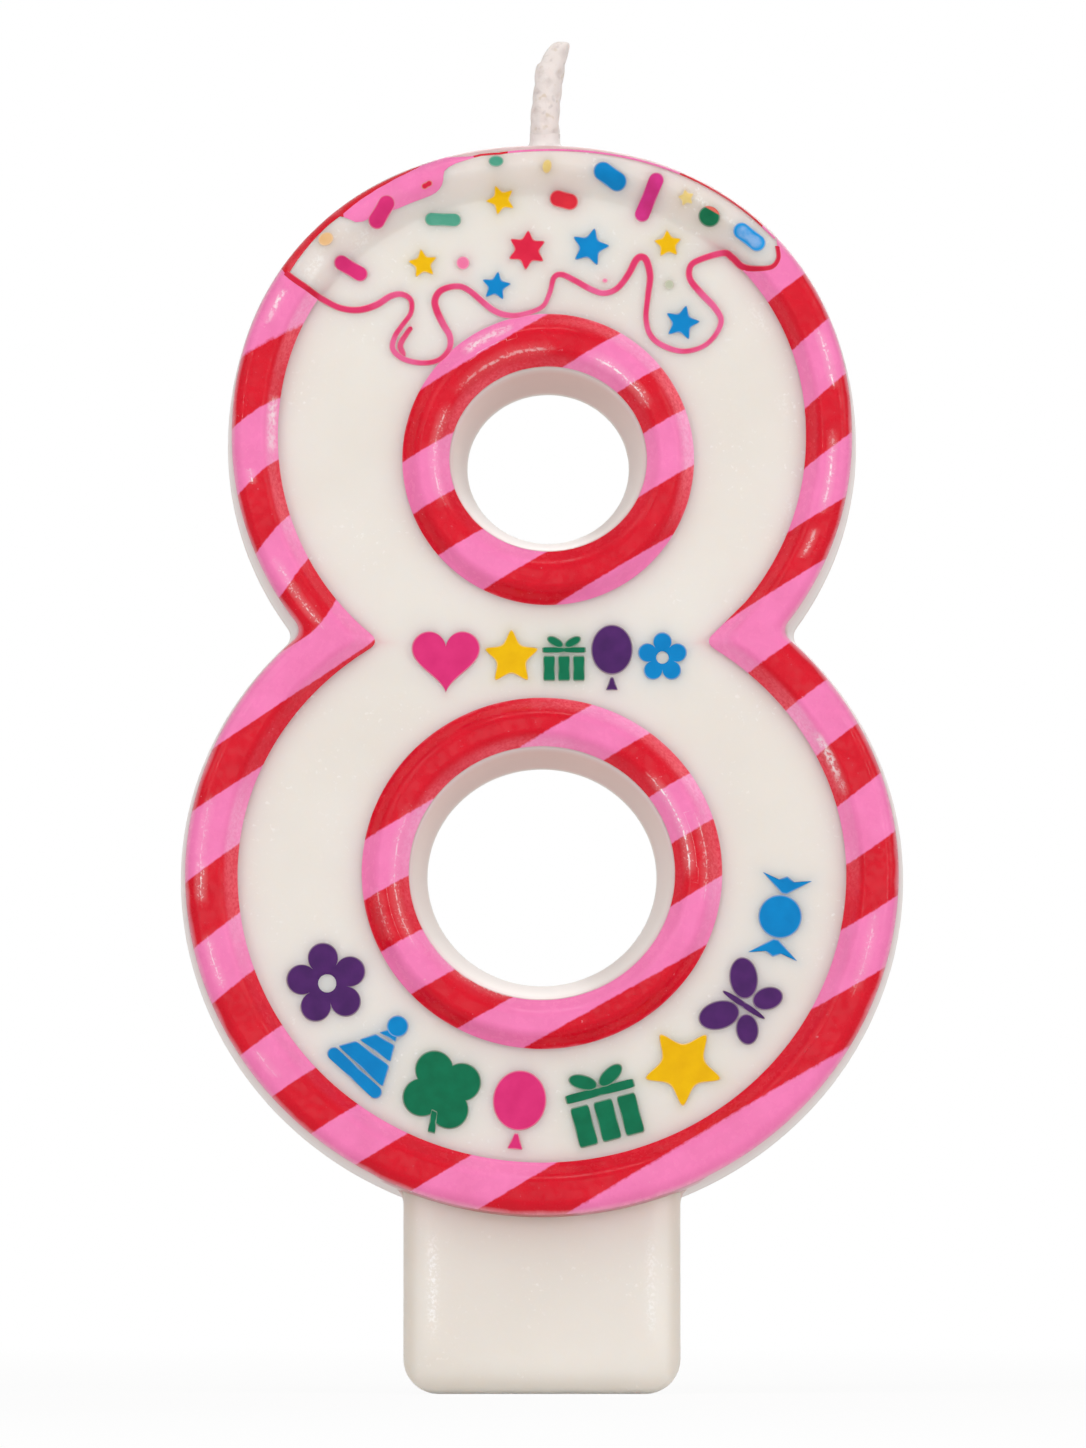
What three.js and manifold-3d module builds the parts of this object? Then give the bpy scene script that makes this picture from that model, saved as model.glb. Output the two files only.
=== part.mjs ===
// Number candle in the shape of an eight: a wax casting with raised rims, a cotton
// wick sealed into its top, and thin printed transfers on its front.
// Millimetres. +Z is up, the front faces -Y, and the origin is under the flat foot.

import * as THREE from "three";
import { mergeVertices } from "three/addons/utils/BufferGeometryUtils.js";
import Module from "manifold-3d";

const wasm = await Module();
wasm.setup();

// Wax casting
const CAST_DEPTH = 11.8;
const SIDE_DRAFT = 0.55;
const RELIEF = 1.2;
const SHOULDER_DEPTH = 1.1;

// Numeral: two lobes, the lower one wider, that overlap at a waist
const UPPER_HALF_WIDTH = 20.9;
const UPPER_RISE = 19.7;
const UPPER_DROP = 20.5;
const UPPER_SQUARENESS = 2.13;
const LOWER_HALF_WIDTH = 24.0;
const LOWER_RISE = 22.05;
const LOWER_DROP = 22.9;
const LOWER_SQUARENESS = 2.0;
const LOBE_SPACING = 28.7;
const NOTCH_FILLET = 0.9;

// Raised rim along the outline, from the side wall inwards, a little narrower on the
// upper lobe
const RIM_SHOULDER = 1.0;
const RIM_CROWN = 1.5;
const RIM_FLANK = 0.95;
const UPPER_RIM_SHARE = 0.88;

// Raised ring round each hole, and the holes, which narrow towards the back
const UPPER_RING_RADIUS = 9.5;
const UPPER_RING_SHIFT = 0.41;
const UPPER_RING_LIFT = -1.43;
const LOWER_RING_RADIUS = 11.74;
const LOWER_RING_FLATTEN = 0.3;
const LOWER_RING_LIFT = 0.1;
const RING_BAND = 3.08;
const RING_FLANK = 0.9;
const RING_DIP = 0.9;
const HOLE_FLATTEN = 0.4;
const HOLE_DRAFT = 1.1;

// Tab that is pushed into a cake
const TAB_WIDTH = 18.2;
const TAB_DEPTH = 9.2;
const TAB_REACH = 11.11;
const TAB_CORNER = 2.3;
const TAB_EDGE_ROUND = 1.4;
const TAB_ROOT = 4.0;
const TAB_FILLET = 0.9;

// Wick, its bore and the wax seal at the bore's mouth
const WICK_DIAMETER = 2.0;
const WICK_CLEARANCE = 0.3;
const WICK_SHIFT = 0.2;
const WICK_EXPOSED = 6.98;
const WICK_TIP_SHIFT = 0.75;
const WICK_BORE_DEPTH = 11.0;
const WICK_SEAT_GAP = 0.05;
const SEAL_RADIUS = 1.85;
const SEAL_SINK = 0.4;
const SEAL_CLIMB = 1.1;
const SEAL_GAP = 0.12;

// Printed transfers
const FILM = 0.2;
const FILM_GAP = 0.02;
const PRINT_MARGIN = 0.06;
const PRINT_SPACING = 0.12;
const PRINT_LIFT = 0.33;
const EDGE_LINE = 0.3;
const ICING_LINE = 0.32;

// Small printed ornaments, and the motifs of the row and the arc
const STAR_SIZE = 2.0;
const BAR_LENGTH = 2.4;
const BAR_WIDTH = 1.1;
const CHIP_SIZE = 1.0;
const DOT_SIZE = 0.86;
const ROW_CLEARANCE = 0.86;
const ROW_DROP = 0.4;
const ARC_MOTIF = 5.4;
const ARC_DROP = 0.35;

// Facets
const LOBE_STEPS = 44;
const NOTCH_STEPS = 4;
const SHOULDER_STEPS = 3;
const RING_STEPS = 40;
const EDGE_STEPS = 3;
const CURVE_STEPS = 6;
const WICK_SIDES = 12;
const SAME_POINT = 0.001;
const TURN = 2 * Math.PI;

// Worked out from the sizes above
const lowerCentre = TAB_REACH + LOWER_DROP;
const upperCentre = lowerCentre + LOBE_SPACING;
const totalDepth = CAST_DEPTH + FILM;
const fieldLevel = CAST_DEPTH - RELIEF;
const shoulderInset = SIDE_DRAFT + RIM_SHOULDER;
const crownInset = shoulderInset + RIM_CROWN;
const footInset = crownInset + RIM_FLANK;
const middle = CAST_DEPTH / 2;
const draftAt = (depth) => (SIDE_DRAFT * depth) / (CAST_DEPTH - SHOULDER_DEPTH);
const topAtMiddle = upperCentre + UPPER_RISE - UPPER_RIM_SHARE * draftAt(middle);
const sealSeat = topAtMiddle - SEAL_SINK;
const wickRadius = WICK_DIAMETER / 2;

const upperRing = {
  x: UPPER_RING_SHIFT,
  y: upperCentre + UPPER_RING_LIFT,
  radius: UPPER_RING_RADIUS,
  flatten: 0,
};
const lowerRing = {
  x: 0,
  y: lowerCentre + LOWER_RING_LIFT,
  radius: LOWER_RING_RADIUS,
  flatten: LOWER_RING_FLATTEN,
};

// Colours of the wax, the cotton and the inks
const WAX = "#ece4dc";
const COTTON = "#eee9e4";
const PINK = "#f984be";
const MAGENTA = "#e0307f";
const RED = "#dc1e36";
const YELLOW = "#f2c20c";
const PALE_YELLOW = "#f0d58c";
const GREEN = "#12805a";
const TEAL = "#4f9f8a";
const BLUE = "#0a8fdc";
const PURPLE = "#5a2b6b";
const ICING_PINK = "#f0527f";

// Solids

function asSolid(geometry) {
  const bare = geometry.index ? geometry.toNonIndexed() : geometry.clone();
  bare.deleteAttribute("normal");
  bare.deleteAttribute("uv");
  const welded = mergeVertices(bare);
  return new wasm.Manifold(
    new wasm.Mesh({
      numProp: 3,
      vertProperties: new Float32Array(welded.attributes.position.array),
      triVerts: new Uint32Array(welded.index.array),
    }),
  );
}

function asGeometry(solid) {
  const mesh = solid.getMesh();
  const geometry = new THREE.BufferGeometry();
  const corners = new Float32Array(mesh.vertProperties);
  geometry.setAttribute("position", new THREE.BufferAttribute(corners, 3));
  geometry.setIndex(new THREE.BufferAttribute(new Uint32Array(mesh.triVerts), 1));
  geometry.computeVertexNormals();
  return geometry;
}

// A closed solid through a stack of outlines that have as many points each and run
// counter-clockwise. The first and the last outline are its flat ends.
function loft(levels) {
  const count = levels[0].outline.length;
  const corners = [];
  const faces = [];
  for (const { outline, z } of levels) {
    for (const point of outline) corners.push(point.x, point.y, z);
  }
  for (let level = 0; level + 1 < levels.length; level += 1) {
    for (let i = 0; i < count; i += 1) {
      const a = level * count + i;
      const b = level * count + ((i + 1) % count);
      faces.push(a, b, b + count, a, b + count, a + count);
    }
  }
  const last = (levels.length - 1) * count;
  for (const [a, b, c] of THREE.ShapeUtils.triangulateShape(levels[0].outline, [])) {
    faces.push(a, c, b);
  }
  for (const [a, b, c] of THREE.ShapeUtils.triangulateShape(levels.at(-1).outline, [])) {
    faces.push(last + a, last + b, last + c);
  }
  const geometry = new THREE.BufferGeometry();
  geometry.setAttribute("position", new THREE.Float32BufferAttribute(corners, 3));
  geometry.setIndex(faces);
  return asSolid(geometry);
}

// A path's points without those that fall on the one before them
function distinctPoints(path) {
  const points = path.getPoints(CURVE_STEPS);
  return points.filter((point, i) => point.distanceTo(points.at(i - 1)) > SAME_POINT);
}

// A column through the front of the casting, as wide as the shapes
function column(shapes) {
  const from = fieldLevel - 1;
  const depth = totalDepth + 1 - from;
  return shapes
    .map((shape) => {
      const outline = new THREE.Shape(distinctPoints(shape));
      outline.holes = shape.holes.map((hole) => new THREE.Path(distinctPoints(hole)));
      const geometry = new THREE.ExtrudeGeometry(outline, { depth, bevelEnabled: false });
      geometry.translate(0, 0, from);
      return asSolid(geometry);
    })
    .reduce((sum, next) => sum.add(next));
}

// Outlines

// A lobe is a superellipse: flatter than an ellipse where its squareness is over 2.
function lobePoint(lobe, angle) {
  const cosine = Math.cos(angle);
  const sine = Math.sin(angle);
  const power = 2 / (sine > 0 ? lobe.squarenessUp : lobe.squarenessDown);
  const reach = sine > 0 ? lobe.rise : lobe.drop;
  return new THREE.Vector2(
    Math.sign(cosine) * lobe.halfWidth * Math.abs(cosine) ** power,
    lobe.centre + Math.sign(sine) * reach * Math.abs(sine) ** power,
  );
}

function upperLobe(inset) {
  return {
    centre: upperCentre,
    halfWidth: UPPER_HALF_WIDTH - UPPER_RIM_SHARE * inset,
    rise: UPPER_RISE - UPPER_RIM_SHARE * inset,
    drop: UPPER_DROP - UPPER_RIM_SHARE * inset,
    squarenessUp: UPPER_SQUARENESS,
    squarenessDown: 2,
  };
}

function lowerLobe(inset) {
  return {
    centre: lowerCentre,
    halfWidth: LOWER_HALF_WIDTH - inset,
    rise: LOWER_RISE - inset,
    drop: LOWER_DROP - inset,
    squarenessUp: 2,
    squarenessDown: LOWER_SQUARENESS,
  };
}

// Angles at which the two lobes cross on the right-hand side
function waistAngles(upper, lower) {
  const halfWidthAt = (lobe, reach, y) =>
    lobe.halfWidth * Math.sqrt(1 - ((y - lobe.centre) / reach) ** 2);
  let low = upper.centre - upper.drop;
  let high = lower.centre + lower.rise;
  for (let i = 0; i < 50; i += 1) {
    const y = (low + high) / 2;
    const upperIsWider =
      halfWidthAt(upper, upper.drop, y) > halfWidthAt(lower, lower.rise, y);
    if (upperIsWider) high = y;
    else low = y;
  }
  return {
    upper: Math.asin((low - upper.centre) / upper.drop),
    lower: Math.asin((low - lower.centre) / lower.rise),
  };
}

// Half the figure's width at the waist, set in by a distance
function waistHalfWidth(inset) {
  const upper = upperLobe(inset);
  return lobePoint(upper, waistAngles(upper, lowerLobe(inset)).upper).x;
}

function sweep(lobe, from, to) {
  return Array.from({ length: LOBE_STEPS + 1 }, (_, i) =>
    lobePoint(lobe, from + ((to - from) * i) / LOBE_STEPS),
  );
}

function roundedWaist(from, corner, to) {
  const curve = new THREE.QuadraticBezierCurve(from, corner, to);
  return curve.getPoints(NOTCH_STEPS).slice(1, -1);
}

// The figure's outline, set in by a distance: over the upper lobe from right to left,
// through the left notch, round the lower lobe, and through the right notch.
function numeralOutline(inset) {
  const upper = upperLobe(inset);
  const lower = lowerLobe(inset);
  const waist = waistAngles(upper, lower);
  const upperStart = waist.upper + NOTCH_FILLET / upper.drop;
  const lowerStart = waist.lower - NOTCH_FILLET / lower.rise;
  const over = sweep(upper, upperStart, Math.PI - upperStart);
  const under = sweep(lower, Math.PI - lowerStart, TURN + lowerStart);
  const right = lobePoint(upper, waist.upper);
  const left = new THREE.Vector2(-right.x, right.y);
  return [
    ...over,
    ...roundedWaist(over.at(-1), left, under[0]),
    ...under,
    ...roundedWaist(under.at(-1), right, over[0]),
  ];
}

function ellipseOutline(ring, narrower) {
  const halfWidth = ring.radius - narrower;
  const flatten = narrower < RING_BAND - RING_FLANK ? ring.flatten : HOLE_FLATTEN;
  return Array.from({ length: RING_STEPS }, (_, i) => {
    const angle = (TURN * i) / RING_STEPS;
    return new THREE.Vector2(
      ring.x + halfWidth * Math.cos(angle),
      ring.y + (halfWidth - flatten) * Math.sin(angle),
    );
  });
}

// Casting

// The numeral and its raised rims. The front is lifted by a film's thickness where
// the shape stands for the space that the printed film fills.
function relief(lift) {
  const front = CAST_DEPTH + lift;
  const shoulder = Array.from({ length: SHOULDER_STEPS + 1 }, (_, i) => {
    const turn = (Math.PI / 2) * (i / SHOULDER_STEPS);
    return {
      outline: numeralOutline(SIDE_DRAFT + RIM_SHOULDER * (1 - Math.cos(turn))),
      z: front - SHOULDER_DEPTH * (1 - Math.sin(turn)),
    };
  });
  const block = loft([
    { outline: numeralOutline(0), z: 0 },
    ...shoulder,
    { outline: numeralOutline(crownInset), z: front },
    { outline: numeralOutline(footInset), z: front - RELIEF },
  ]);
  return [upperRing, lowerRing].reduce(
    (body, ring) => body.add(ringBead(ring, front)).subtract(holePlug(ring, front)),
    block,
  );
}

function ringBead(ring, front) {
  return loft([
    { outline: ellipseOutline(ring, 0), z: front - RELIEF - 1 },
    { outline: ellipseOutline(ring, 0), z: front - RELIEF },
    { outline: ellipseOutline(ring, RING_FLANK), z: front },
  ]);
}

function holePlug(ring, front) {
  const back = ellipseOutline(ring, RING_BAND + HOLE_DRAFT);
  const crown = ellipseOutline(ring, RING_BAND - RING_FLANK);
  return loft([
    { outline: back, z: -1 },
    { outline: back, z: 0 },
    { outline: ellipseOutline(ring, RING_BAND), z: front - RING_DIP },
    { outline: crown, z: front },
    { outline: crown, z: front + 1 },
  ]);
}

function tabOutline(inset) {
  const half = TAB_WIDTH / 2 - inset;
  const radius = TAB_CORNER - inset;
  const top = TAB_REACH + TAB_ROOT;
  const shape = new THREE.Shape();
  shape.moveTo(-half, top);
  shape.lineTo(-half, inset + radius);
  shape.absarc(-half + radius, inset + radius, radius, Math.PI, 1.5 * Math.PI);
  shape.lineTo(half - radius, inset);
  shape.absarc(half - radius, inset + radius, radius, -0.5 * Math.PI, 0);
  shape.lineTo(half, top);
  return distinctPoints(shape);
}

// The tab has straight sides and a front that is rounded off along its edges.
function tab() {
  const rounded = Array.from({ length: EDGE_STEPS + 1 }, (_, i) => {
    const turn = (Math.PI / 2) * (i / EDGE_STEPS);
    return {
      outline: tabOutline(TAB_EDGE_ROUND * (1 - Math.cos(turn))),
      z: TAB_DEPTH - TAB_EDGE_ROUND * (1 - Math.sin(turn)),
    };
  });
  return loft([{ outline: tabOutline(0), z: 0 }, ...rounded]);
}

// A wedge that rounds the corner between one side of the tab and the lower lobe
function tabFillet(side) {
  const half = TAB_WIDTH / 2;
  const lobe = lowerLobe(draftAt(TAB_DEPTH));
  const power = 2 / lobe.squarenessDown;
  const angleAt = (x) => -Math.acos((x / lobe.halfWidth) ** (1 / power));
  const corner = lobePoint(lobe, angleAt(half));
  const along = lobePoint(lobe, angleAt(half + TAB_FILLET));
  const shape = new THREE.Shape();
  shape.moveTo(side * (half - TAB_FILLET), corner.y + TAB_FILLET);
  shape.lineTo(side * (half - TAB_FILLET), corner.y - TAB_FILLET);
  shape.lineTo(side * half, corner.y - TAB_FILLET);
  shape.quadraticCurveTo(side * half, corner.y, side * along.x, along.y);
  shape.lineTo(side * along.x, along.y + TAB_FILLET);
  const geometry = new THREE.ExtrudeGeometry(shape, {
    depth: TAB_DEPTH - TAB_EDGE_ROUND,
    bevelEnabled: false,
    curveSegments: 4,
  });
  return asSolid(geometry);
}

function uprightCylinder(radius, from, to, sides) {
  const geometry = new THREE.CylinderGeometry(radius, radius, to - from, sides);
  geometry.translate(WICK_SHIFT, (from + to) / 2, middle);
  return asSolid(geometry);
}

function waxBody() {
  const above = topAtMiddle + 2;
  const bore = uprightCylinder(
    wickRadius + WICK_CLEARANCE,
    topAtMiddle - WICK_BORE_DEPTH,
    above,
    24,
  );
  const pocket = uprightCylinder(SEAL_RADIUS + SEAL_GAP, sealSeat, above, 24);
  return relief(0)
    .add(tab())
    .add(tabFillet(1))
    .add(tabFillet(-1))
    .subtract(bore)
    .subtract(pocket);
}

// Wick

// The wick stands straight in its bore and leans over, more and more, above it.
function wickGeometry() {
  const bottom = topAtMiddle - WICK_BORE_DEPTH + WICK_SEAT_GAP;
  const straight = topAtMiddle + SEAL_CLIMB;
  const free = WICK_EXPOSED - SEAL_CLIMB;
  const at = (height, lean) =>
    new THREE.Vector3(WICK_SHIFT + lean * WICK_TIP_SHIFT, height, middle);
  const route = new THREE.CatmullRomCurve3([
    at(bottom, 0),
    at((bottom + straight) / 2, 0),
    at(straight, 0),
    ...[0.25, 0.5, 0.75, 1].map((part) => at(straight + free * part, part ** 2)),
  ]);
  const section = new THREE.Shape();
  section.absarc(0, 0, wickRadius, 0, TURN);
  return new THREE.ExtrudeGeometry(section, {
    steps: 12,
    curveSegments: WICK_SIDES,
    extrudePath: route,
  });
}

// A ring of wax that fills the bore's mouth and climbs the wick in a hollow curve
function sealGeometry() {
  const inner = wickRadius + SEAL_GAP;
  const lip = inner + 0.1;
  const climb = new THREE.QuadraticBezierCurve(
    new THREE.Vector2(SEAL_RADIUS, topAtMiddle),
    new THREE.Vector2(lip, topAtMiddle + SEAL_CLIMB / 4),
    new THREE.Vector2(lip, topAtMiddle + SEAL_CLIMB),
  );
  const profile = [
    new THREE.Vector2(inner, sealSeat),
    new THREE.Vector2(SEAL_RADIUS, sealSeat),
    ...climb.getPoints(4),
    new THREE.Vector2(inner, topAtMiddle + SEAL_CLIMB),
    new THREE.Vector2(inner, sealSeat),
  ];
  const geometry = new THREE.LatheGeometry(profile, 24);
  geometry.translate(WICK_SHIFT, 0, middle);
  return geometry;
}

// Ornament shapes, each round its own middle

function starShape(points, size, waist) {
  const corners = Array.from({ length: 2 * points }, (_, i) => {
    const angle = Math.PI / 2 + (Math.PI * i) / points;
    const radius = (size / 2) * (i % 2 ? waist : 1);
    return new THREE.Vector2(radius * Math.cos(angle), radius * Math.sin(angle));
  });
  return [new THREE.Shape(corners)];
}

function barShape(length, width) {
  const end = (length - width) / 2;
  const shape = new THREE.Shape();
  shape.absarc(end, 0, width / 2, -Math.PI / 2, Math.PI / 2);
  shape.absarc(-end, 0, width / 2, Math.PI / 2, 1.5 * Math.PI);
  return [shape];
}

function dotShape(width, height) {
  const shape = new THREE.Shape();
  shape.absellipse(0, 0, width / 2, height / 2, 0, TURN);
  return [shape];
}

function heartShape(width) {
  const w = width / 2;
  const shape = new THREE.Shape();
  shape.moveTo(0, -w);
  shape.bezierCurveTo(-0.5 * w, -0.55 * w, -w, -0.2 * w, -w, 0.3 * w);
  shape.bezierCurveTo(-w, 0.95 * w, -0.2 * w, 1.1 * w, 0, 0.45 * w);
  shape.bezierCurveTo(0.2 * w, 1.1 * w, w, 0.95 * w, w, 0.3 * w);
  shape.bezierCurveTo(w, -0.2 * w, 0.5 * w, -0.55 * w, 0, -w);
  return [shape];
}

// Round petals about a middle that is left open
function flowerShape(width) {
  const petals = 5;
  const steps = 40;
  const radius = width / 2;
  const corners = Array.from({ length: steps }, (_, i) => {
    const angle = (TURN * i) / steps;
    const reach = radius * (0.76 + 0.24 * Math.cos(petals * (angle - Math.PI / 2)));
    return new THREE.Vector2(reach * Math.cos(angle), reach * Math.sin(angle));
  });
  const shape = new THREE.Shape(corners);
  const middleHole = new THREE.Path();
  middleHole.absarc(0, 0, 0.2 * radius, 0, TURN);
  shape.holes.push(middleHole);
  return [shape];
}

// An upright oval with a small knot under it
function balloonShape(width, height) {
  const knot = 0.12 * height;
  const oval = new THREE.Shape();
  oval.absellipse(0, knot, width / 2, height / 2 - knot, 0, TURN);
  const tie = new THREE.Shape([
    new THREE.Vector2(-0.14 * width, -height / 2),
    new THREE.Vector2(0.14 * width, -height / 2),
    new THREE.Vector2(0.03 * width, -height / 2 + 2.6 * knot),
    new THREE.Vector2(-0.03 * width, -height / 2 + 2.6 * knot),
  ]);
  return [oval, tie];
}

// A cone with a rounded brim and a pompom
function hatShape(width, height) {
  const brim = 0.16 * height;
  const cone = new THREE.Shape([
    new THREE.Vector2(-0.42 * width, -height / 2 + brim / 2),
    new THREE.Vector2(0.42 * width, -height / 2 + brim / 2),
    new THREE.Vector2(0, 0.4 * height),
  ]);
  const pompom = new THREE.Shape();
  pompom.absarc(0, 0.36 * height, 0.14 * height, 0, TURN);
  const band = new THREE.Shape();
  const end = width / 2 - brim / 2;
  const level = -height / 2 + brim / 2;
  band.absarc(end, level, brim / 2, -Math.PI / 2, Math.PI / 2);
  band.absarc(-end, level, brim / 2, Math.PI / 2, 1.5 * Math.PI);
  return [cone, pompom, band];
}

// Four round leaves on a short stalk
function cloverShape(width) {
  const leaf = 0.27 * width;
  const leaves = [0, 1, 2, 3].map((i) => {
    const angle = Math.PI / 4 + (Math.PI / 2) * i;
    const shape = new THREE.Shape();
    const reach = 0.3 * width;
    shape.absarc(reach * Math.cos(angle), reach * Math.sin(angle), leaf, 0, TURN);
    return shape;
  });
  const stalk = new THREE.Shape([
    new THREE.Vector2(-0.04 * width, 0),
    new THREE.Vector2(0.06 * width, -0.62 * width),
    new THREE.Vector2(0.18 * width, -0.6 * width),
    new THREE.Vector2(0.05 * width, 0),
  ]);
  return [...leaves, stalk];
}

function boxShape(left, bottom, right, top) {
  return new THREE.Shape([
    new THREE.Vector2(left, bottom),
    new THREE.Vector2(right, bottom),
    new THREE.Vector2(right, top),
    new THREE.Vector2(left, top),
  ]);
}

// A box with two slots that leave a ribbon between them, and a bow of two loops
function giftShape(width) {
  const half = width / 2;
  const side = 0.88 * half;
  const ribbon = 0.14 * width;
  const slot = 0.05 * width;
  const lid = boxShape(-side, 0.2 * half, side, 0.45 * half);
  const base = boxShape(-side, -half, side, -0.85 * half);
  const uprights = [
    [-side, -ribbon - slot],
    [-ribbon, ribbon],
    [ribbon + slot, side],
  ].map(([left, right]) => boxShape(left, -0.9 * half, right, 0.3 * half));
  const loops = [-1, 1].map((end) => {
    const loop = new THREE.Shape();
    const tilt = end * 0.5;
    loop.absellipse(end * 0.36 * half, 0.62 * half, 0.42 * half, 0.22 * half, 0, TURN, false, tilt);
    return loop;
  });
  return [lid, base, ...uprights, ...loops];
}

// Two pairs of wings on a slim body
function butterflyShape(width) {
  const half = width / 2;
  const wings = [-1, 1].flatMap((side) => {
    const upper = new THREE.Shape();
    const lower = new THREE.Shape();
    const tilt = side * 0.7;
    upper.absellipse(side * 0.5 * half, 0.36 * half, 0.55 * half, 0.36 * half, 0, TURN, false, tilt);
    lower.absellipse(side * 0.4 * half, -0.4 * half, 0.42 * half, 0.3 * half, 0, TURN, false, -tilt);
    return [upper, lower];
  });
  const body = new THREE.Shape();
  body.absellipse(0, 0, 0.1 * half, 0.62 * half, 0, TURN);
  return [...wings, body];
}

// A wrapped sweet: a round middle between two fans of paper
function sweetShape(width, height) {
  const sweet = new THREE.Shape();
  sweet.absarc(0, 0, 0.42 * height, 0, TURN);
  const fans = [-1, 1].map(
    (side) =>
      new THREE.Shape([
        new THREE.Vector2(side * 0.3 * height, 0),
        new THREE.Vector2((side * width) / 2, -height / 2),
        new THREE.Vector2(side * 0.43 * width, -height / 6),
        new THREE.Vector2((side * width) / 2, 0),
        new THREE.Vector2(side * 0.43 * width, height / 6),
        new THREE.Vector2((side * width) / 2, height / 2),
      ]),
  );
  return [sweet, ...fans];
}

// Places on the front

// A point across and up the upper lobe, as shares of its half width and its rise. The
// print sits a little high on the lobe.
const onLobeGrid = ([across, up]) =>
  new THREE.Vector2(
    across * UPPER_HALF_WIDTH,
    upperCentre + PRINT_LIFT + up * UPPER_RISE,
  );

function place(shapes, at, degrees) {
  return column(shapes)
    .rotate([0, 0, degrees])
    .translate([at.x, at.y, 0]);
}

// The icing's lower edge, drawn as drips, on the lobe's grid
const DRIPS = [
  [-0.86, 0.6], [-0.802, 0.528], [-0.739, 0.479], [-0.685, 0.443], [-0.632, 0.416],
  [-0.575, 0.41], [-0.522, 0.426], [-0.475, 0.456], [-0.44, 0.462], [-0.412, 0.443],
  [-0.412, 0.4], [-0.44, 0.357], [-0.462, 0.321], [-0.468, 0.279], [-0.434, 0.246],
  [-0.377, 0.233], [-0.324, 0.243], [-0.292, 0.279], [-0.289, 0.321], [-0.311, 0.364],
  [-0.33, 0.407], [-0.336, 0.443], [-0.317, 0.475], [-0.27, 0.489], [-0.229, 0.475],
  [-0.154, 0.41], [-0.097, 0.391], [-0.044, 0.4], [0.003, 0.423], [0.025, 0.469],
  [0.038, 0.518], [0.063, 0.528], [0.104, 0.508], [0.154, 0.479], [0.195, 0.466],
  [0.236, 0.482], [0.271, 0.528], [0.296, 0.577], [0.315, 0.587], [0.33, 0.571],
  [0.34, 0.521], [0.333, 0.456], [0.327, 0.384], [0.34, 0.328], [0.378, 0.292],
  [0.44, 0.272], [0.5, 0.285], [0.541, 0.321], [0.563, 0.374], [0.541, 0.42],
  [0.5, 0.466], [0.466, 0.512], [0.466, 0.554], [0.494, 0.577], [0.569, 0.6],
  [0.598, 0.584], [0.629, 0.554], [0.67, 0.544], [0.72, 0.548], [0.742, 0.577],
  [0.739, 0.62],
];
const DRIP_HOOK = [[-0.409, 0.354], [-0.427, 0.328], [-0.445, 0.29], [-0.43, 0.255]];
const PINK_PATCH = [
  [-0.72, 0.8], [-0.61, 0.725], [-0.541, 0.712], [-0.421, 0.754], [-0.317, 0.79],
  [-0.292, 0.833], [-0.302, 0.866], [-0.27, 0.885], [-0.2, 1.0], [-0.5, 1.0],
];

// A line of even width along a smooth curve through points
function strokeShape(points, width, steps) {
  const curve = new THREE.SplineCurve(points.map(onLobeGrid));
  const sides = [[], []];
  for (let i = 0; i <= steps; i += 1) {
    const point = curve.getPointAt(i / steps);
    const along = curve.getTangentAt(i / steps);
    const across = new THREE.Vector2(-along.y, along.x).multiplyScalar(width / 2);
    sides[0].push(point.clone().sub(across));
    sides[1].push(point.clone().add(across));
  }
  return [new THREE.Shape([...sides[0], ...sides[1].reverse()])];
}

const dripSteps = 120;
const drips = new THREE.SplineCurve(DRIPS.map(onLobeGrid));
const aboveNumeral = upperCentre + UPPER_RISE + 2;
const icingRegion = new THREE.Shape([
  ...drips.getSpacedPoints(dripSteps),
  new THREE.Vector2(UPPER_HALF_WIDTH + 2, drips.getPoint(1).y),
  new THREE.Vector2(UPPER_HALF_WIDTH + 2, aboveNumeral),
  new THREE.Vector2(-UPPER_HALF_WIDTH - 2, aboveNumeral),
  new THREE.Vector2(-UPPER_HALF_WIDTH - 2, drips.getPoint(0).y),
]);

// Printed pieces: what each column cuts out of the skin over the front
const skin = relief(FILM).subtract(relief(FILM_GAP));
const within = (inset) => column([new THREE.Shape(numeralOutline(inset))]);
const printEdge = within(SIDE_DRAFT + PRINT_MARGIN);
const edgeLineInset = SIDE_DRAFT + PRINT_MARGIN + EDGE_LINE;
const insideEdgeLine = within(edgeLineInset + PRINT_SPACING);

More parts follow.
